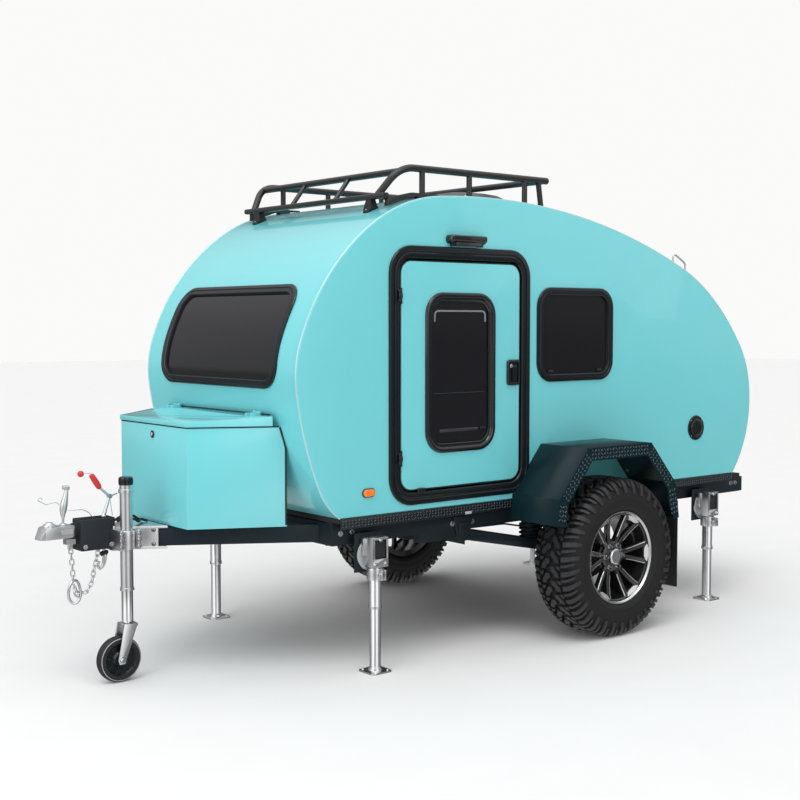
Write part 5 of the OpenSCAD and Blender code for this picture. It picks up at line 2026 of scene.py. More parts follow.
@dataclass
class RoofVent:
    """The domed roof vent and the low fairing ahead of it."""

    x: float = 0.215 + AXLE_X

    def build(self) -> None:
        """Builds the base, the domed lid and the fairing."""
        shape = Shape(VENT, TRIM)
        crown = 2.0375

        def ring(width: float, radius: float, z: float) -> list[Spot]:
            return [
                (x, y, z if z > 0 else roof_z(x) - 0.003)
                for x, y in rounded(self.x, 0.0, width, width, radius, 0.0, 8, 6)
            ]

        base = ((0.4, 0.04, 0.02), (0.392, 0.038, 0.03), (0.36, 0.036, 0.033), (0.33, 0.034, 0.034))
        shape.domed([ring(0.4, 0.04, -1), *(ring(wide, r, crown + up) for wide, r, up in base)], [0, 0, 0, 1], 1)
        lid = (
            (0.33, 0.045, 0.036), (0.35, 0.05, 0.038), (0.352, 0.052, 0.05), (0.34, 0.056, 0.062), (0.3, 0.06, 0.076),
            (0.22, 0.06, 0.086), (0.11, 0.04, 0.0895)
        )
        made = shape.loft([ring(wide, r, crown + up) for wide, r, up in lid])
        shape.face(made[-1])
        shape.face(list(reversed(made[0])))
        ridden(shape.build("vent_dome", 36.0), "trailer", "vent", "roof_vent")
        ribs = Shape(VENT)
        for i in range(-2, 3):
            y = i * 0.052
            path = [
                (self.x + u, y, crown + 0.0885 - 0.34 * (u * u + y * y) - 0.0012)
                for u in (-0.115 + 0.23 * k / 10 for k in range(11))
            ]
            ribs.tube(path, 0.0032, 8)
        ridden(ribs.build("vent_ribs"), "trailer", "vent")
        self.fairing()

    def fairing(self) -> None:
        """Builds the low fairing with a rolled edge."""
        shape = Shape(RACK)
        stations = [(0.43, 0.04), (0.47, 0.04), (0.56, 0.037), (0.61, 0.03), (0.66, 0.016), (0.698, 0.003)]
        rows = []
        for x, high in stations:
            x += AXLE_X
            z = roof_z(x)
            row = [(x, -0.19, z - 0.003), (x, -0.188, z + high * 0.7), (x, -0.175, z + high)]
            row += [(x, y, z + high) for y in (-0.08, 0.0, 0.08)]
            row += [(x, 0.175, z + high), (x, 0.188, z + high * 0.7), (x, 0.19, z - 0.003)]
            rows.append(row)
        shape.loft_solid(rows)
        ridden(shape.build("rack_fairing", 40.0, 0.0015), "trailer", "vent")


@dataclass
class FrontBox:
    """The storage box on the drawbar, its lid and the dark seals; the seal in the lid's gap is also a painted shade.
    """

    nose: float = 1.965 + AXLE_X
    half: float = 0.284
    flare: float = 0.51
    low: float = 0.632
    top: float = 1.046

    def half_at(self, x: float) -> float:
        """Half the box's width at a length."""
        return self.half + self.flare * (self.nose - x)

    def build(self) -> None:
        """Builds the box, the lid and what seals them."""
        refined("front_box", PAINT, "trailer", "body", 0.0035, 24.0)
        refined("front_box_lid", PAINT, "box_lid", "body", 0.0035, 24.0)
        # A black rubber strip fills the gap under the lid: it is a seal, and also a painted shade for the gap's dark
        # line.
        seam_x = self._skin_x(self.top) + 0.006
        seam = [
            (seam_x, -self.half_at(seam_x) + 0.002, self.top + 0.002),
            (self.nose - 0.002, -self.half + 0.002, self.top + 0.002),
            (self.nose - 0.002, self.half - 0.002, self.top + 0.002),
            (seam_x, self.half_at(seam_x) - 0.002, self.top + 0.002)
        ]
        moulding("box_seal", [seam], 0.0032, SEAL, "trailer", "rubber", steps=8)
        edges = []
        for s in SIGNS:
            row = []
            for i in range(15):
                z = self.low + 0.006 + (self.top - self.low - 0.006) * i / 14
                x = max(self._skin_x(z), 1.6 + AXLE_X) + 0.003
                row.append((x, s * (self.half_at(x) - 0.001), z))
            edges.append(row)
        moulding("box_edge_seal", edges, 0.0042, SEAL, "trailer", "rubber", steps=8)
        low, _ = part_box("front_box_lid")
        x = low.x + 0.004
        strip = [(x, -self.half_at(x) + 0.02, 1.0975), (x, self.half_at(x) - 0.02, 1.0975)]
        moulding("lid_edge_strip", [strip], 0.003, SEAL, "box_lid", "rubber", steps=8)
        self.catch()

    def _skin_x(self, z: float) -> float:
        """The length of the body's front skin at a height."""
        return SHELL.at(SHELL.front_heading(z))[0]

    def catch(self) -> None:
        """Adds the small key catch under the lid's front edge."""
        shape = Shape(TRIM, CHROME)
        place = along_x(self.nose - 0.001, 0.0, self.top - 0.04)
        shape.lathe([(0.016, 0.0), (0.016, 0.0035), (0.0135, 0.0055), (0.0085, 0.0055)], place, 28, 0)
        shape.lathe(
            [(0.0085, 0.004), (0.0085, 0.0075), (0.007, 0.0085), (0.0028, 0.0085), (0.0024, 0.0072), (0.0, 0.0072)],
            place, 24, 1
        )
        ridden(shape.build("box_lock", 30.0), "trailer", "black_trim")


@dataclass
class Lamps:
    """Porch lamps over the doors, side markers, tail lamps and the round side ports."""

    port: Flat = (-0.909 + AXLE_X, 0.922)

    def build(self) -> None:
        """Builds every lamp and port."""
        self.porch()
        self.markers()
        self.ports()

    def porch(self) -> None:
        """Builds the porch lamps: a sloped housing with a lens under it."""
        shape = Shape(GLOSS, SMOKE)
        x, z = 0.743 + AXLE_X, 1.843
        for s in SIGNS:
            rows = []
            for grow, t, lift in (
                (0.0, 0.0, 0.0), (0.0, 0.016, 0.0), (-0.002, 0.027, 0.002), (-0.006, 0.036, 0.004),
                (-0.012, 0.0415, 0.006)
            ):
                rows.append([(u, s * (SHELL.side + t), v + lift) for u, v in rounded(x, z, 0.221, 0.04, 0.016, grow)])
            shape.domed(rows)
            low, high = sorted((s * (SHELL.side + 0.004), s * (SHELL.side + 0.03)))
            rows = [
                [(u, low + (high - low) * q, v) for u, v in rounded(x, z - 0.021, 0.15, 0.016, 0.005, steps=3)]
                for q in (0.0, 1.0)
            ]
            shape.loft_solid(rows, 1)
            for u in (-0.082, 0.082):
                shape.side_block(
                    s, (x + u - 0.006, x + u + 0.006), (SHELL.side, SHELL.side + 0.026), (z - 0.03, z - 0.012)
                )
        ridden(shape.build("porch_lamp_housings", bevel=0.0008), "trailer", "lamp_black", "porch_lamps")

    def markers(self) -> None:
        """Builds the amber side markers and the red tail lamps."""
        shape = Shape(TRIM, AMBER, RUBY)
        x, z = 1.286 + AXLE_X, 0.761
        lamp = Opening(x, z, 0.067, 0.038, 0.018)
        for s in SIGNS:
            put = outward(s, SHELL.side)
            shape.loft(tiers(put, lamp.ring, ((0.0, 0.0), (0.0, 0.004), (-0.002, 0.0052), (-0.0035, 0.0045))))
            lens = ((-0.0035, 0.002), (-0.0035, 0.0075), (-0.005, 0.01), (-0.008, 0.0115), (-0.013, 0.012))
            shape.domed(tiers(put, lamp.ring, lens), 1, 1)
            self.tail(shape, s)
        ridden(shape.build("marker_lenses"), "trailer", "amber", "marker_lamps")
        ribs = []
        for s in SIGNS:
            for k in range(-3, 4):
                y = s * (SHELL.side + 0.0121)
                ribs.append([(x + k * 0.006, y, z - 0.0085), (x + k * 0.006, y, z + 0.0085)])
        moulding("marker_ribs", ribs, 0.0007, AMBER, "trailer", "amber", steps=6)

    def tail(self, shape: Shape, s: float) -> None:
        """Adds one tail lamp on the tail's curve: a black rim round a red lens."""
        middle, half_y, spread = 0.498, 0.055, 6.3
        for finish, grow, outs in ((0, 1.0, (0.0, 0.006, 0.0065)), (2, 0.88, (0.004, 0.012, 0.0155))):
            rows = []
            for k, out in zip((1.0, 1.0, 0.93), outs):
                row = []
                for u, v in rounded(0, 0, 2.0, 2.0, 0.35, steps=4, straight=4):
                    tx, tz = SHELL.at(296.5 + v * spread * grow * k, -out)
                    row.append((tx, s * (middle + u * half_y * grow * k), tz))
                rows.append(row)
            shape.domed(rows, finish, finish)

    def ports(self) -> None:
        """Turns the round side ports: a ring, a dished cap and six pads on it."""
        shape = Shape(TRIM, GLOSS)
        for s in SIGNS:
            place = along_y(self.port[0], s * SHELL.side, self.port[1], s)
            shape.lathe(
                [(0.065, -0.001), (0.065, 0.004), (0.063, 0.0065), (0.054, 0.008), (0.052, 0.006), (0.05, 0.006)],
                place, 56
            )
            shape.lathe(
                [
                    (0.05, 0.005), (0.0495, 0.0115), (0.047, 0.0132), (0.04, 0.0138), (0.037, 0.0118), (0.02, 0.0112),
                    (0.0, 0.0112)
                ],
                place, 56, 1
            )
            for k in range(6):
                turn = place @ Matrix.Rotation(math.tau * k / 6, 4, "Z")
                pad = [
                    [turn @ Vector((0.0285 + u, v, t)) for u, v in rounded(0, 0, 0.011, 0.02, 0.003, g, 3)]
                    for g, t in ((0.0, 0.0105), (0.0, 0.0128), (-0.001, 0.0136))
                ]
                shape.domed(pad)
        ridden(shape.build("side_port_caps", 30.0), "trailer", "black_trim", "side_ports")
        places = []
        for s in SIGNS:
            place = along_y(self.port[0], s * SHELL.side, self.port[1], s)
            for i in range(4):
                places.append(place @ Matrix.Translation(on_circle(math.radians(45 + 90 * i), 0.0585, 0.0062)))
        bolts("port_screws", places, 0.0026, 0.0016, ZINC, "trailer", "black_trim")


@dataclass
class Galley:
    """The birch bulkhead, counter and shelf behind the cabin."""

    def build(self) -> None:
        """Dresses the galley's boards."""
        refined("galley", BIRCH, "trailer", "birch", 0.0015)


# ---------------------------------------------------------------- legs, coupler and nose wheel


NOSE_TUBE: Flat = (2.14 + AXLE_X, 0.092)


@dataclass
class Leg:
    """One fold-up leg: bracket, clamp, outer tube, sliding foot."""

    name: str
    x: float
    side: Side
    y: float = 0.645

    def build(self) -> None:
        """Builds the leg's fixed clamp, its tubes and its foot."""
        word = f"{self.name}_{self.side.word}"
        refined(f"leg_{word}", ZINC, f"leg_{word}", "zinc", 0.0012)
        refined(f"foot_{word}", ZINC, f"foot_{word}", "zinc", 0.001)
        self.bracket(word)
        self.foot(word)

    def bracket(self, word: str) -> None:
        """Builds the folded bracket with its dark window, and the clamp with its ear."""
        s = self.side.value
        shape = Shape(ZINC, UNDER)
        y_in, y_out = self.y - 0.033, self.y + 0.036

        def slab(x: Flat, y: Flat, z: Flat, pick: int = 0) -> None:
            shape.side_block(s, (self.x + x[0], self.x + x[1]), y, z, pick)

        skin = (y_out - 0.001, y_out + 0.004)
        for ends in ((-0.04, -0.035), (0.035, 0.04)):
            slab(ends, (y_in, y_out), (0.452, 0.578))
        for heights in ((0.452, 0.488), (0.568, 0.578)):
            slab((-0.04, 0.04), skin, heights)
        slab((-0.036, 0.036), (y_out - 0.0085, y_out - 0.0035), (0.486, 0.57), 1)
        for ends in ((-0.04, -0.031), (0.031, 0.04)):
            slab(ends, skin, (0.488, 0.568))
        for ends in ((-0.05, -0.04), (0.04, 0.05)):
            slab(ends, (y_in, y_in + 0.02), (0.5, 0.572))
        collar = [
            (0.0272, 0.396), (0.035, 0.396), (0.0362, 0.3972), (0.0362, 0.4448), (0.035, 0.446), (0.0272, 0.446)
        ]
        shape.lathe([*collar, collar[0]], upright(self.x, s * self.y, 0.0), 32)
        ears = Shape(ZINC)
        for a, b in ((-0.012, -0.004), (0.004, 0.012)):
            ears.side_block(s, (self.x + a, self.x + b), (self.y + 0.03, self.y + 0.062), (0.399, 0.443))
        ridden(shape.build(f"leg_bracket_{word}", bevel=0.0012), f"leg_{word}", "zinc")
        ridden(ears.build(f"leg_clamp_ears_{word}", bevel=0.0012), f"leg_{word}", "zinc")
        places = [along_x(self.x + 0.012, s * (self.y + 0.05), 0.421)]
        for x, z in ((0.028, 0.466), (-0.028, 0.466), (0.0, 0.567)):
            places.append(along_y(self.x + x, s * (y_out + 0.004), z, s))
        bolts(f"leg_bolts_{word}", places, 0.0062, 0.006, CHROME, f"leg_{word}", "zinc")
        rings = Shape(ZINC)
        ring = [(0.0258, 0.2735), (0.0269, 0.274), (0.0269, 0.2775), (0.0258, 0.278)]
        rings.lathe(ring + [ring[0]], upright(self.x, s * self.y, 0.0), 32)
        ridden(rings.build(f"leg_joint_ring_{word}", 30.0), f"leg_{word}", "zinc")

    def foot(self, word: str) -> None:
        """Adds the weld bead and the fixing bolts on the foot plate."""
        s = self.side.value
        shape = Shape(ZINC)
        bead = [(self.x + 0.0245 * math.cos(a), s * self.y + 0.0245 * math.sin(a), 0.0195) for a in turns(36)]
        shape.tube(bead, 0.0028, 8, closed=True)
        ridden(shape.build(f"foot_weld_{word}"), f"foot_{word}", "zinc")
        places = [upright(self.x + u, s * self.y + v, 0.0078) for u in (-0.038, 0.038) for v in (-0.038, 0.038)]
        bolts(f"foot_bolts_{word}", places, 0.0052, 0.0045, ZINC, f"foot_{word}", "zinc")


@dataclass
class Coupler:
    """The towing head, bellows, overrun housing, clamp plates, levers, chains and cables."""

    tip: float = 2.487 + AXLE_X

    def aft(self, *points: Spot) -> list[Spot]:
        """Turns points measured backwards from the tip into places."""
        return [(self.tip - back, y, z) for back, y, z in points]

    def build(self) -> None:
        """Builds everything on the drawbar's nose."""
        refined("coupler_head", CAST, "trailer", "cast_silver", 0.003, 30.0)
        self.head_detail()
        self.housing()
        self.plates()
        self.levers()
        self.chains()
        self.cables()

    def head_detail(self) -> None:
        """Adds the button's ring and the head's side ribs."""
        shape = Shape(CAST)
        place = upright(self.tip - 0.052, 0.0, 0.656)
        shape.lathe(
            [(0.0262, -0.001), (0.0262, 0.0065), (0.0245, 0.0095), (0.0205, 0.01), (0.0196, 0.012)], place, 36
        )
        for s in (-1.0, 1.0):
            rows = [
                [
                    (self.tip - 0.14 + u * k, s * t, 0.633 + v * k)
                    for u, v in ((0.0, -0.012), (0.052, -0.01), (0.056, 0.0), (0.052, 0.01), (0.0, 0.012))
                ]
                for k, t in ((1.0, 0.0285), (0.9, 0.0352))
            ]
            shape.domed(rows)
        ridden(shape.build("coupler_ring", 34.0), "trailer", "cast_silver")

    def housing(self) -> None:
        """Builds the ribbed bellows and the dark housing with its open slotted top."""
        shape = Shape(HOUSING, SEAL, UNDER)
        back, front = self.tip - 0.323, self.tip - 0.17
        x, wide = (back + front) / 2, front - back
        levels = (
            (-0.003, 0.548), (0.0, 0.551), (0.0, 0.672), (-0.0015, 0.6755), (-0.007, 0.676), (-0.009, 0.674),
            (-0.01, 0.652)
        )
        rows = [[(u, v, z) for u, v in rounded(x, 0.0, wide, 0.09, 0.01, grow, 4)] for grow, z in levels]
        made = shape.loft(rows, [0, 0, 0, 0, 0, 2])
        shape.face(made[-1], 2)
        shape.face(list(reversed(made[0])))
        for y in (-0.022, 0.022):
            shape.block((back + 0.012, y - 0.006, 0.65), (front - 0.014, y + 0.006, 0.6735))
        shape.block((back - 0.055, -0.043, 0.55), (back + 0.002, 0.043, 0.622))
        ribs = [(0.03, -0.004)]
        for i in range(4):
            t = 0.001 + i * 0.0062
            ribs += [(0.03, t), (0.0345, t + 0.0016), (0.0345, t + 0.0032), (0.03, t + 0.0048)]
        ribs += [(0.029, 0.026)]
        shape.lathe(ribs, along_x(self.tip - 0.173, 0.0, 0.628), 36, 1)
        ridden(shape.build("overrun_housing", 34.0, 0.0012), "trailer", "coupler_body", "coupler_body")
        places = [along_y(x, s * 0.045, 0.565, s) for x in (back + 0.02, front - 0.018) for s in (-1.0, 1.0)]
        bolts("housing_bolts", places, 0.007, 0.006, ZINC, "trailer", "coupler_body")

    def plates(self) -> None:
        """Builds the clamp plates over and under the drawbar and the nose wheel's clamp."""
        shape = Shape(ZINC)
        back = self.tip - 0.313
        apex = 2.198 + AXLE_X
        plan = [
            (back, -0.045), (back, 0.045), (apex - 0.075, 0.062), (apex - 0.22, 0.145), (apex - 0.22, -0.145),
            (apex - 0.075, -0.062)
        ]
        for low in (0.538, 0.624):
            shape.loft_solid([[(u, v, z) for u, v in plan] for z in (low, low + 0.01)])
        shape.block((self.tip - 0.325, -0.048, 0.536), (self.tip - 0.31, 0.048, 0.64))
        tx, ty = NOSE_TUBE
        ring = [(0.0264, 0.548), (0.034, 0.548), (0.0352, 0.5495), (0.0352, 0.6225), (0.034, 0.624), (0.0264, 0.624)]
        shape.lathe(ring + [ring[0]], upright(tx, ty, 0.0), 36)
        for u in (-0.046, 0.034):
            shape.block((tx + u, 0.04, 0.546), (tx + u + 0.012, 0.131, 0.628))
        shape.block((tx - 0.04, 0.045, 0.549), (tx + 0.04, 0.066, 0.623))
        ridden(shape.build("clamp_plates", 34.0, 0.0014), "trailer", "zinc")
        side = Shape(ZINC)
        run = Vector((-1.0, 0.6152, 0.0)).normalized()
        out = Vector((0.6152, 1.0, 0.0)).normalized()
        for s in (-1.0, 1.0):
            corner = Vector((apex - 0.085, 0.0523 + 0.001, 0.0))
            rows = []
            for t in (0.0, 0.006):
                row = []
                for u, v in rounded(0.062, 0.586, 0.124, 0.096, 0.01, 0.0, 3):
                    p = corner + run * u + out * t
                    row.append((p.x, s * p.y, v))
                rows.append(row)
            side.loft_solid(rows)
        ridden(side.build("clamp_side_plates", 34.0, 0.0012), "trailer", "zinc")
        places = []
        for u, z in ((0.105, 0.617), (0.105, 0.558)):
            for s in (-1.0, 1.0):
                p = Vector((apex - 0.085, 0.0533, z)) + run * u + out * 0.006
                w = Vector((out.x, s * out.y, 0))
                places.append(facing((p.x, s * p.y, z), w))
        for u in (-0.04, 0.04):
            for z in (0.562, 0.588, 0.614):
                places.append(along_y(tx + u, 0.131, z, 1.0))
        bolts("clamp_bolts", places, 0.0066, 0.0064, CHROME, "trailer", "zinc")

    def levers(self) -> None:
        """Builds the handbrake lever with its red grip and the coupling handle."""
        t = self.tip
        shape = Shape(ZINC, RED, CAST)
        foot = Vector((t - 0.291, 0.0, 0.676))
        knuckle = Vector((t - 0.319, 0.0, 0.759))
        elbow = Vector((t - 0.272, 0.0, 0.8))
        grip = [Vector((t - 0.274, 0, 0.798)), Vector((t - 0.238, 0, 0.854))]
        shape.lathe([(0.011, 0.0), (0.011, 0.004), (0.009, 0.0065), (0.0, 0.0065)], upright(foot.x, 0, 0.6755), 20)
        shape.tube([foot, knuckle], [0.0075, 0.0055], 14)
        shape.tube([knuckle, elbow, grip[0]], 0.0055, 14)
        for y in (-0.007, 0.007):
            shape.lathe(
                [(0.0, y - 0.0025), (0.0095, y - 0.002), (0.0095, y + 0.002), (0.0, y + 0.0025)],
                along_y(knuckle.x, 0, knuckle.z), 20
            )
        shape.tube(
            [knuckle, knuckle + Vector((-0.02, 0.0, 0.006)), knuckle + Vector((-0.034, 0, 0.01))],
            [0.0048, 0.004, 0.0048], 10
        )
        way = (grip[1] - grip[0]).normalized()
        path = [grip[0] + way * d for d in (-0.004, 0.0, 0.008, 0.026, 0.044, 0.06, 0.0665, 0.068)]
        shape.tube(path, [0.0075, 0.0105, 0.0122, 0.0128, 0.0125, 0.0118, 0.009, 0.004], 24, 1)
        base = Vector((t - 0.112, 0.0, 0.656))
        shape.lathe([(0.014, 0.0), (0.014, 0.006), (0.012, 0.0085), (0.0, 0.0085)], upright(base.x, 0, base.z), 24, 2)
        top = Vector((t - 0.13, 0.0, 0.806))
        stem = self.aft((0.112, 0, 0.702), (0.114, 0, 0.722), (0.118, 0, 0.745), (0.125, 0, 0.775))
        shape.tube(
            [base + Vector((0, 0, 0.004)), base + Vector((0, 0, 0.028)), *stem, top],
            [0.0048, 0.005, 0.01, 0.0145, 0.015, 0.0105, 0.007], 22, 2
        )
        knob = ((-0.012, 0, 0.001), (-0.01, 0, 0.0015), (0.0, 0, 0.003), (0.016, 0, 0.006), (0.018, 0, 0.0065))
        shape.tube([top + Vector(p) for p in knob], [0.004, 0.0086, 0.0098, 0.0086, 0.004], 18, 2)
        ridden(shape.build("levers_finished", 38.0), "trailer", "levers", "coupler_levers")
        self._ball(grip[1] + way * 0.005)

    def _ball(self, tip: Vector) -> None:
        """Adds the red ball on its thin wire at the grip's end."""
        end = Vector((self.tip - 0.192, 0.0, 0.8605))
        wires = [filleted([tip, (tip.x + 0.018, 0, tip.z + 0.004), end], 0.02, 6)]
        wires.append(self.aft((0.319, 0.0, 0.757), (0.329, 0.0, 0.691), (0.331, 0.0, 0.677)))
        moulding("lever_wires", wires, 0.0014, ZINC, "trailer", "levers", steps=8)
        shape = Shape(RED)
        profile = [(0.0135 * math.sin(a), -0.0135 * math.cos(a)) for a in (math.pi * i / 12 for i in range(13))]
        profile[0], profile[-1] = (0.0, -0.0135), (0.0, 0.0135)
        shape.lathe(profile, Matrix.Translation(end), 20)
        ridden(shape.build("lever_ball", 50.0), "trailer", "levers")

    def chains(self) -> None:
        """Hangs the safety chains link by link, with their ring and hooks."""
        link = Shape(ZINC)
        ring = []
        for i in range(20):
            a = math.tau * i / 20
            straight = 0.0062 if math.cos(a) > 0 else -0.0062
            ring.append((0.0, 0.0082 * math.sin(a), straight + 0.0082 * math.cos(a)))
        link.tube(ring, 0.0025, 7, closed=True)
        part = link.build("chain_link_part", 60.0)
        pins = {
            "front": self.aft((0.141, 0.0, 0.572), (0.146, 0.0, 0.52), (0.15, 0.0, 0.47), (0.151, 0.0, 0.432)),
            "loop": self.aft(
                (0.163, 0.0, 0.385), (0.19, 0.0, 0.366), (0.212, 0.0, 0.372), (0.235, 0.0, 0.409),
                (0.244, 0.0, 0.458), (0.262, 0.0, 0.525), (0.264, 0.0, 0.548)
            )
        }
        places = []
        for line in pins.values():
            smooth = filleted(line, 0.03, 6)
            lengths = [0.0]
            for a, b in zip(smooth, smooth[1:]):
                lengths.append(lengths[-1] + (b - a).length)
            pitch = 0.0205
            count = max(int(lengths[-1] / pitch), 1)
            for k in range(count + 1):
                goal = lengths[-1] * k / count
                i = next(j for j in range(1, len(lengths)) if lengths[j] >= goal - 1e-9)
                share = (goal - lengths[i - 1]) / max(lengths[i] - lengths[i - 1], 1e-9)
                at = smooth[i - 1].lerp(smooth[i], share)
                way = (smooth[i] - smooth[i - 1]).normalized()
                places.append(facing(at, way) @ Matrix.Rotation(math.radians(90 * (k % 2) + 35), 4, "Z"))
        piece = RECIPES.parts.run(seeds("chain_seeds", places), "safety_chain", ZINC, 60.0, Part=part, Scale=1.0)
        bpy.data.objects.remove(part)
        ridden(piece, "trailer", "zinc")
        self.hooks()

    def hooks(self) -> None:
        """Builds the ring hook, the second hook with its sleeve, and the shackles they hang from."""
        t = self.tip
        shape = Shape(ZINC, SEAL)
        ring = [
            (t - 0.157 + 0.026 * math.sin(a), 0.004 * math.sin(2 * a), 0.378 + 0.048 * math.cos(a)) for a in turns(36)
        ]
        shape.tube(ring, 0.0058, 12, closed=True)
        bill = self.aft(
            (0.15, 0.004, 0.412), (0.16, 0.008, 0.395), (0.15, 0.01, 0.372), (0.166, 0.01, 0.356),
            (0.172, 0.008, 0.372)
        )
        second = self.aft(
            (0.29, 0.0, 0.552), (0.29, 0.0, 0.52), (0.286, 0.0, 0.48), (0.272, 0.0, 0.456), (0.262, 0.0, 0.47),
            (0.268, 0.0, 0.492)
        )
        gate = self.aft((0.302, 0.0, 0.515), (0.296, 0.0, 0.482), (0.284, 0.0, 0.462))
        sleeve = self.aft((0.305, 0.0, 0.524), (0.296, 0.0, 0.527), (0.276, 0.0, 0.52))
        shape.tube(filleted(bill, 0.012, 5), 0.0045, 12)
        shape.tube(filleted(second, 0.016, 6), 0.0052, 12)
        shape.tube(filleted(gate, 0.014, 5), 0.003, 10)
        shape.tube(filleted(sleeve, 0.012, 5), 0.01, 16, 1)
        for x in (t - 0.141, t - 0.264, t - 0.29):
            eye = [
                (x + 0.008 * math.sin(a), 0.0, 0.566 + 0.014 * math.cos(a) - (0.0 if x > t - 0.2 else 0.014))
                for a in turns(24)
            ]
            shape.tube(eye, 0.0035, 10, closed=True)
        shape.block((t - 0.158, -0.016, 0.578), (t - 0.118, 0.016, 0.6))
        ridden(shape.build("chain_hooks", 45.0, 0.0), "trailer", "zinc")

    def cables(self) -> None:
        """Lays the breakaway wire over the head and the dark cable behind the clamp."""
        t = self.tip
        curl = self.aft(
            (0.016, 0.006, 0.769), (0.024, 0.005, 0.757), (0.04, 0.004, 0.749), (0.062, 0.002, 0.752),
            (0.085, 0.0, 0.752), (0.103, 0.0, 0.735), (0.118, 0.004, 0.719), (0.15, 0.01, 0.716),
            (0.185, 0.012, 0.716), (0.215, 0.01, 0.704), (0.236, 0.006, 0.682), (0.24, 0.004, 0.66)
        )
        hook = [
            (t - 0.013 + 0.008 * math.cos(a), 0.006, 0.77 + 0.008 * math.sin(a))
            for a in (math.radians(d) for d in range(-20, 200, 20))
        ]
        moulding(
            "breakaway_wire", [smoothed([*reversed(hook), *curl[1:]], 4)], 0.0016, ZINC, "trailer", "zinc", steps=8
        )
        loop = self.aft(
            (0.335, 0.03, 0.655), (0.365, 0.045, 0.668), (0.4, 0.06, 0.662), (0.425, 0.05, 0.648),
            (0.45, 0.02, 0.652), (0.49, 0.0, 0.64)
        )
        second = self.aft(
            (0.335, 0.005, 0.655), (0.372, 0.02, 0.676), (0.408, 0.034, 0.672), (0.438, 0.02, 0.655),
            (0.48, -0.02, 0.644)
        )
        moulding("brake_lead", [smoothed(loop, 5), smoothed(second, 5)], 0.0055, SEAL, "trailer", "rubber", steps=12)


def smoothed(points: Sequence[Sequence[float]], steps: int) -> list[Vector]:
    """Runs a smooth line through points.

    Args:
        points: The points it passes.
        steps: Steps between two of them.

    Returns:
        The line.
    """
    marks = [Vector(p) for p in points]
    marks = [marks[0] * 2 - marks[1], *marks, marks[-1] * 2 - marks[-2]]
    line = []
    for a, b, c, d in zip(marks, marks[1:], marks[2:], marks[3:]):
        for i in range(steps):
            t = i / steps
            line.append(
                0.5 * (
                    2 * b + (c - a) * t + (2 * a - 5 * b + 4 * c - d) * t * t + (3 * b - a - 3 * c + d) * t * t * t
                )
            )
    line.append(marks[-2])
    return line


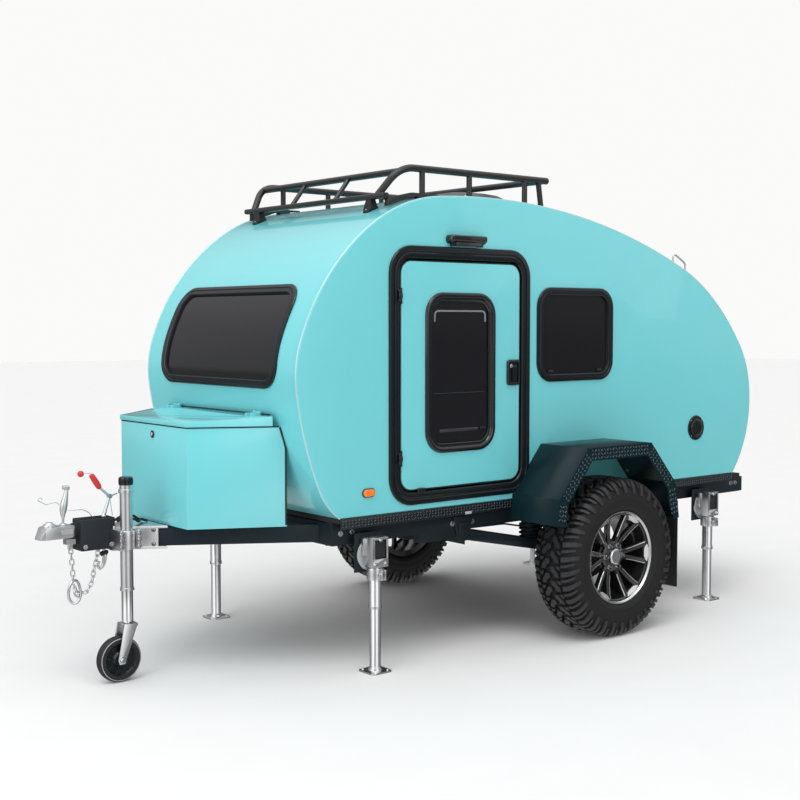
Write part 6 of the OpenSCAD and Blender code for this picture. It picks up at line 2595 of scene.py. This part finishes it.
@dataclass
class NoseWheel:
    """The nose wheel: clamp tube with a black cap, sliding tube, fork and wheel."""

    x: float = NOSE_TUBE[0]
    y: float = NOSE_TUBE[1]
    wheel_x: float = 2.182 + AXLE_X
    radius: float = 0.095

    def build(self) -> None:
        """Builds the tube, the slide, the fork and the wheel."""
        shape = Shape(ZINC, TRIM)
        tube = [
            (0.0243, 0.5), (0.0243, 0.375), (0.028, 0.375), (0.029, 0.3762), (0.029, 0.3858), (0.026, 0.387),
            (0.026, 0.54), (0.0266, 0.5405), (0.0266, 0.5415), (0.026, 0.542), (0.026, 0.779), (0.03, 0.7795),
            (0.031, 0.7805), (0.031, 0.7945), (0.03, 0.7955), (0.0262, 0.796), (0.0262, 0.813)
        ]
        place = upright(self.x, self.y, 0.0)
        shape.lathe(tube, place, 40, ends=False)
        cap = [
            (0.0262, 0.8125), (0.0285, 0.813), (0.0292, 0.8145), (0.0292, 0.84), (0.028, 0.844), (0.025, 0.8458),
            (0.0, 0.846)
        ]
        shape.lathe(cap, place, 40, 1)
        ridden(shape.build("nose_tube", 34.0), "trailer", "zinc", "jockey_tube")
        flutes = [
            [(self.x + 0.029 * math.cos(a), self.y + 0.029 * math.sin(a), z) for z in (0.818, 0.838)]
            for a in turns(30)
        ]
        moulding("nose_cap_flutes", flutes, 0.0011, TRIM, "trailer", "black_trim", steps=6)
        refined("jockey_slide", CHROME, "jockey_slide", "zinc", 0.0008)
        refined("jockey_fork", ZINC, "jockey_fork", "zinc", 0.0014)
        places = [along_y(self.wheel_x, self.y + s * 0.0335, self.radius, s) for s in (-1.0, 1.0)]
        bolts("fork_nuts", places, 0.0085, 0.007, CHROME, "jockey_fork", "zinc")
        self.wheel()

    def wheel(self) -> None:
        """Turns the small wheel: rubber tyre with a pale moulding line, black hub with ribs."""
        r, w = self.radius, 0.024
        shape = Shape(SEAL, TRIM, OPAL)
        place = along_y(self.wheel_x, self.y, r, 1.0)
        tyre = [
            (r - 0.03, -w + 0.005), (r - 0.026, -w), (r - 0.014, -w), (r - 0.007, -w + 0.002),
            (r - 0.0025, -w + 0.007), (r - 0.0002, -w + 0.014), (r, -0.0012), (r, 0.0012), (r - 0.0002, w - 0.014),
            (r - 0.0025, w - 0.007), (r - 0.007, w - 0.002), (r - 0.0095, w - 0.0006), (r - 0.0115, w - 0.0004),
            (r - 0.014, w), (r - 0.026, w), (r - 0.03, w - 0.005)
        ]
        shape.lathe(tyre + [tyre[0]], place, 64, [0] * 10 + [2] + [0] * 5)
        hub = [
            (0.0088, -w), (0.026, -w), (0.028, -w + 0.004), (0.034, -w + 0.01), (r - 0.034, -w + 0.009),
            (r - 0.03, -w + 0.004), (r - 0.03, w - 0.004), (r - 0.034, w - 0.009), (0.034, w - 0.01),
            (0.028, w - 0.004), (0.026, w), (0.0088, w)
        ]
        shape.lathe(hub + [hub[0]], place, 64, 1)
        ridden(shape.build("nose_tyre", 34.0), "jockey_wheel", "jockey_rubber", "jockey_wheel")
        part = Shape(TRIM)
        for s in (-1.0, 1.0):
            part.side_block(s, (-0.0022, 0.0022), (w - 0.012, w - 0.005), (0.026, r - 0.031))
        piece = part.build("nose_rib_part", bevel=0.0006)
        base = wire("nose_rib_seed", [[(0, 0, 0), (0, 0, 0.001)]])
        made = RECIPES.ring.run(
            base, "nose_wheel_ribs", TRIM, 30.0, Part=piece, Count=9, Start=0.0, Centre=(self.wheel_x, self.y, r)
        )
        bpy.data.objects.remove(piece)
        ridden(made, "jockey_wheel", "jockey_rubber")


# ---------------------------------------------------------------- the studio


@dataclass
class Studio:
    """The pale floor, the soft lights and the camera."""

    spot: Spot = (4.0686, 4.8527, 1.4812)
    heading: float = 50.684
    dip: float = 3.493
    lens: float = 57.59
    sky: float = 0.965
    lift: float = 2.5
    reach: float = 40.0
    white: tuple[float, ...] = (1.0, 0.992, 0.99, 1.0)
    heights: tuple[Flat, ...] = (
        (-1.0, 0.7), (-0.45, 0.7), (-0.3, 0.36), (-0.02, 0.36), (0.03, 0.76), (0.25, 0.83), (0.6, 1.03), (1.0, 1.03)
    )
    walls: tuple[Flat, ...] = (
        (-180, 0.15), (-130, 0.1), (-90, 0.4), (-62, 0.6), (-45, 0.6), (-20, 1.3), (8, 2.3), (30, 1.4), (44, 0.3),
        (56, 0.3), (68, 1.2), (86, 2.4), (104, 1.5), (118, 0.4), (140, 0.35), (160, 0.7), (180, 0.15)
    )

    def build(self) -> None:
        """Lays the floor, hangs the lights and stands the camera."""
        shape = Shape(Finish("studio_floor", (0.815, 0.812, 0.812), 0.9, Grain.PEEL, dust=0.0))
        shape.block((-self.reach, -self.reach, -0.02), (self.reach, self.reach, 0.0))
        floor = shape.build("floor")
        floor.visible_glossy = False
        world = bpy.data.worlds.new("studio")
        bpy.context.scene.world = world
        world.use_nodes = True
        self.surround(world.node_tree)
        self.sun("key_sun", 0.82, spread=34.0, turn=(28.0, 0.0, 128.0))
        self.area("roof_box", 14.0, spot=(0.4, 0.6, 4.2), aim=(0.0, 0.0, 1.2), size=3.4)
        self.area("front_box", 16.0, spot=(5.2, 1.2, 2.6), aim=(0.6, 0.0, 1.2), size=2.6)
        self.area("rear_box", 6.0, spot=(-4.0, 3.6, 2.8), aim=(-1.0, 0.0, 1.0), size=2.2)
        self.camera()
        scene = bpy.context.scene
        scene.view_settings.view_transform = "Standard"
        scene.view_settings.look = "None"

    def surround(self, tree: bpy.types.NodeTree) -> None:
        """Paints the room round the trailer: a bright ceiling over greyer walls, plain behind.

        Args:
            tree: The world's node tree.
        """
        nodes, links = tree.nodes, tree.links
        back = nodes["Background"]
        feed(back, Strength=self.lift)
        way = nodes.new("ShaderNodeTexCoord")
        split = nodes.new("ShaderNodeSeparateXYZ")
        links.new(way.outputs["Generated"], split.inputs["Vector"])

        def sum_of(kind: str, *values: object) -> bpy.types.NodeSocket:
            made = nodes.new("ShaderNodeMath")
            made.operation = kind
            for socket, value in zip(made.inputs, values):
                if isinstance(value, bpy.types.NodeSocket):
                    links.new(value, socket)
                else:
                    socket.default_value = value
            return made.outputs[0]

        def stepped(
            value: bpy.types.NodeSocket, low: float, high: float, bands: Sequence[Flat]
        ) -> bpy.types.NodeSocket:
            rise = nodes.new("ShaderNodeMapRange")
            feed(rise, From_Min=low, From_Max=high)
            links.new(value, rise.inputs["Value"])
            ramp = nodes.new("ShaderNodeValToRGB")
            links.new(rise.outputs["Result"], ramp.inputs["Fac"])
            stops = ramp.color_ramp.elements
            stops.remove(stops[1])
            for index, (place, tone) in enumerate(bands):
                stop = stops[0] if index == 0 else stops.new((place - low) / (high - low))
                stop.position = (place - low) / (high - low)
                stop.color = (tone, tone, tone, 1.0)
            return ramp.outputs["Color"]

        height = stepped(split.outputs["Z"], -1.0, 1.0, self.heights)
        turn = sum_of("ARCTAN2", split.outputs["Y"], split.outputs["X"])
        walls = stepped(turn, -math.pi, math.pi, [(math.radians(a), t / self.lift) for a, t in self.walls])
        slope = sum_of("ABSOLUTE", split.outputs["Z"])
        share = stepped(slope, 0.0, 1.0, ((0.0, 0.0), (0.35, 0.0), (0.75, 1.0), (1.0, 1.0)))
        spread = sum_of(
            "ADD", sum_of("MULTIPLY", walls, sum_of("SUBTRACT", 1.0, share)),
            sum_of("MULTIPLY", share, 1.0 / self.lift)
        )
        links.new(sum_of("MULTIPLY", height, spread), back.inputs["Color"])
        plain = nodes.new("ShaderNodeBackground")
        feed(plain, Color=self.white, Strength=self.sky)
        rays = nodes.new("ShaderNodeLightPath")
        mixed = nodes.new("ShaderNodeMixShader")
        links.new(rays.outputs["Is Camera Ray"], mixed.inputs[0])
        links.new(back.outputs["Background"], mixed.inputs[1])
        links.new(plain.outputs["Background"], mixed.inputs[2])
        links.new(mixed.outputs["Shader"], nodes["World Output"].inputs["Surface"])

    def sun(self, name: str, power: float, spread: float, turn: Spot) -> None:
        """Hangs a wide soft sun."""
        data = bpy.data.lights.new(name, "SUN")
        data.energy = power
        data.angle = math.radians(spread)
        lamp = bpy.data.objects.new(name, data)
        lamp.rotation_euler = [math.radians(a) for a in turn]
        bpy.context.scene.collection.objects.link(lamp)

    def area(self, name: str, power: float, spot: Spot, aim: Spot, size: float) -> None:
        """Hangs a square soft light that points at a spot."""
        data = bpy.data.lights.new(name, "AREA")
        data.energy = power
        data.size = size
        lamp = bpy.data.objects.new(name, data)
        lamp.location = spot
        lamp.rotation_euler = (Vector(aim) - Vector(spot)).to_track_quat("-Z", "Y").to_euler()
        bpy.context.scene.collection.objects.link(lamp)

    def camera(self) -> None:
        """Stands the camera."""
        data = bpy.data.cameras.new("camera")
        data.lens = self.lens
        data.sensor_width = 36.0
        data.clip_end = 200.0
        camera = bpy.data.objects.new("camera", data)
        camera.location = self.spot
        a, e = math.radians(self.heading), math.radians(self.dip)
        way = Vector((-math.cos(a) * math.cos(e), -math.sin(a) * math.cos(e), -math.sin(e)))
        camera.rotation_euler = way.to_track_quat("-Z", "Y").to_euler()
        bpy.context.scene.collection.objects.link(camera)
        bpy.context.scene.camera = camera


def main() -> None:
    """Builds the whole trailer, then the studio."""
    logging.basicConfig(level=logging.INFO, format="%(name)s: %(message)s")
    BodyShell().build()
    Glazing().build()
    Galley().build()
    for side in Side:
        EntryDoor(side).build()
        RoadWheel(side).build()
        Leg("front", 1.272 + AXLE_X, side).build()
        Leg("rear", -0.985 + AXLE_X, side).build()
    Fenders().build()
    Underframe().build()
    RoofRack().build()
    RoofVent().build()
    FrontBox().build()
    Lamps().build()
    Coupler().build()
    NoseWheel().build()
    Studio().build()


if __name__ == "__main__":
    main()
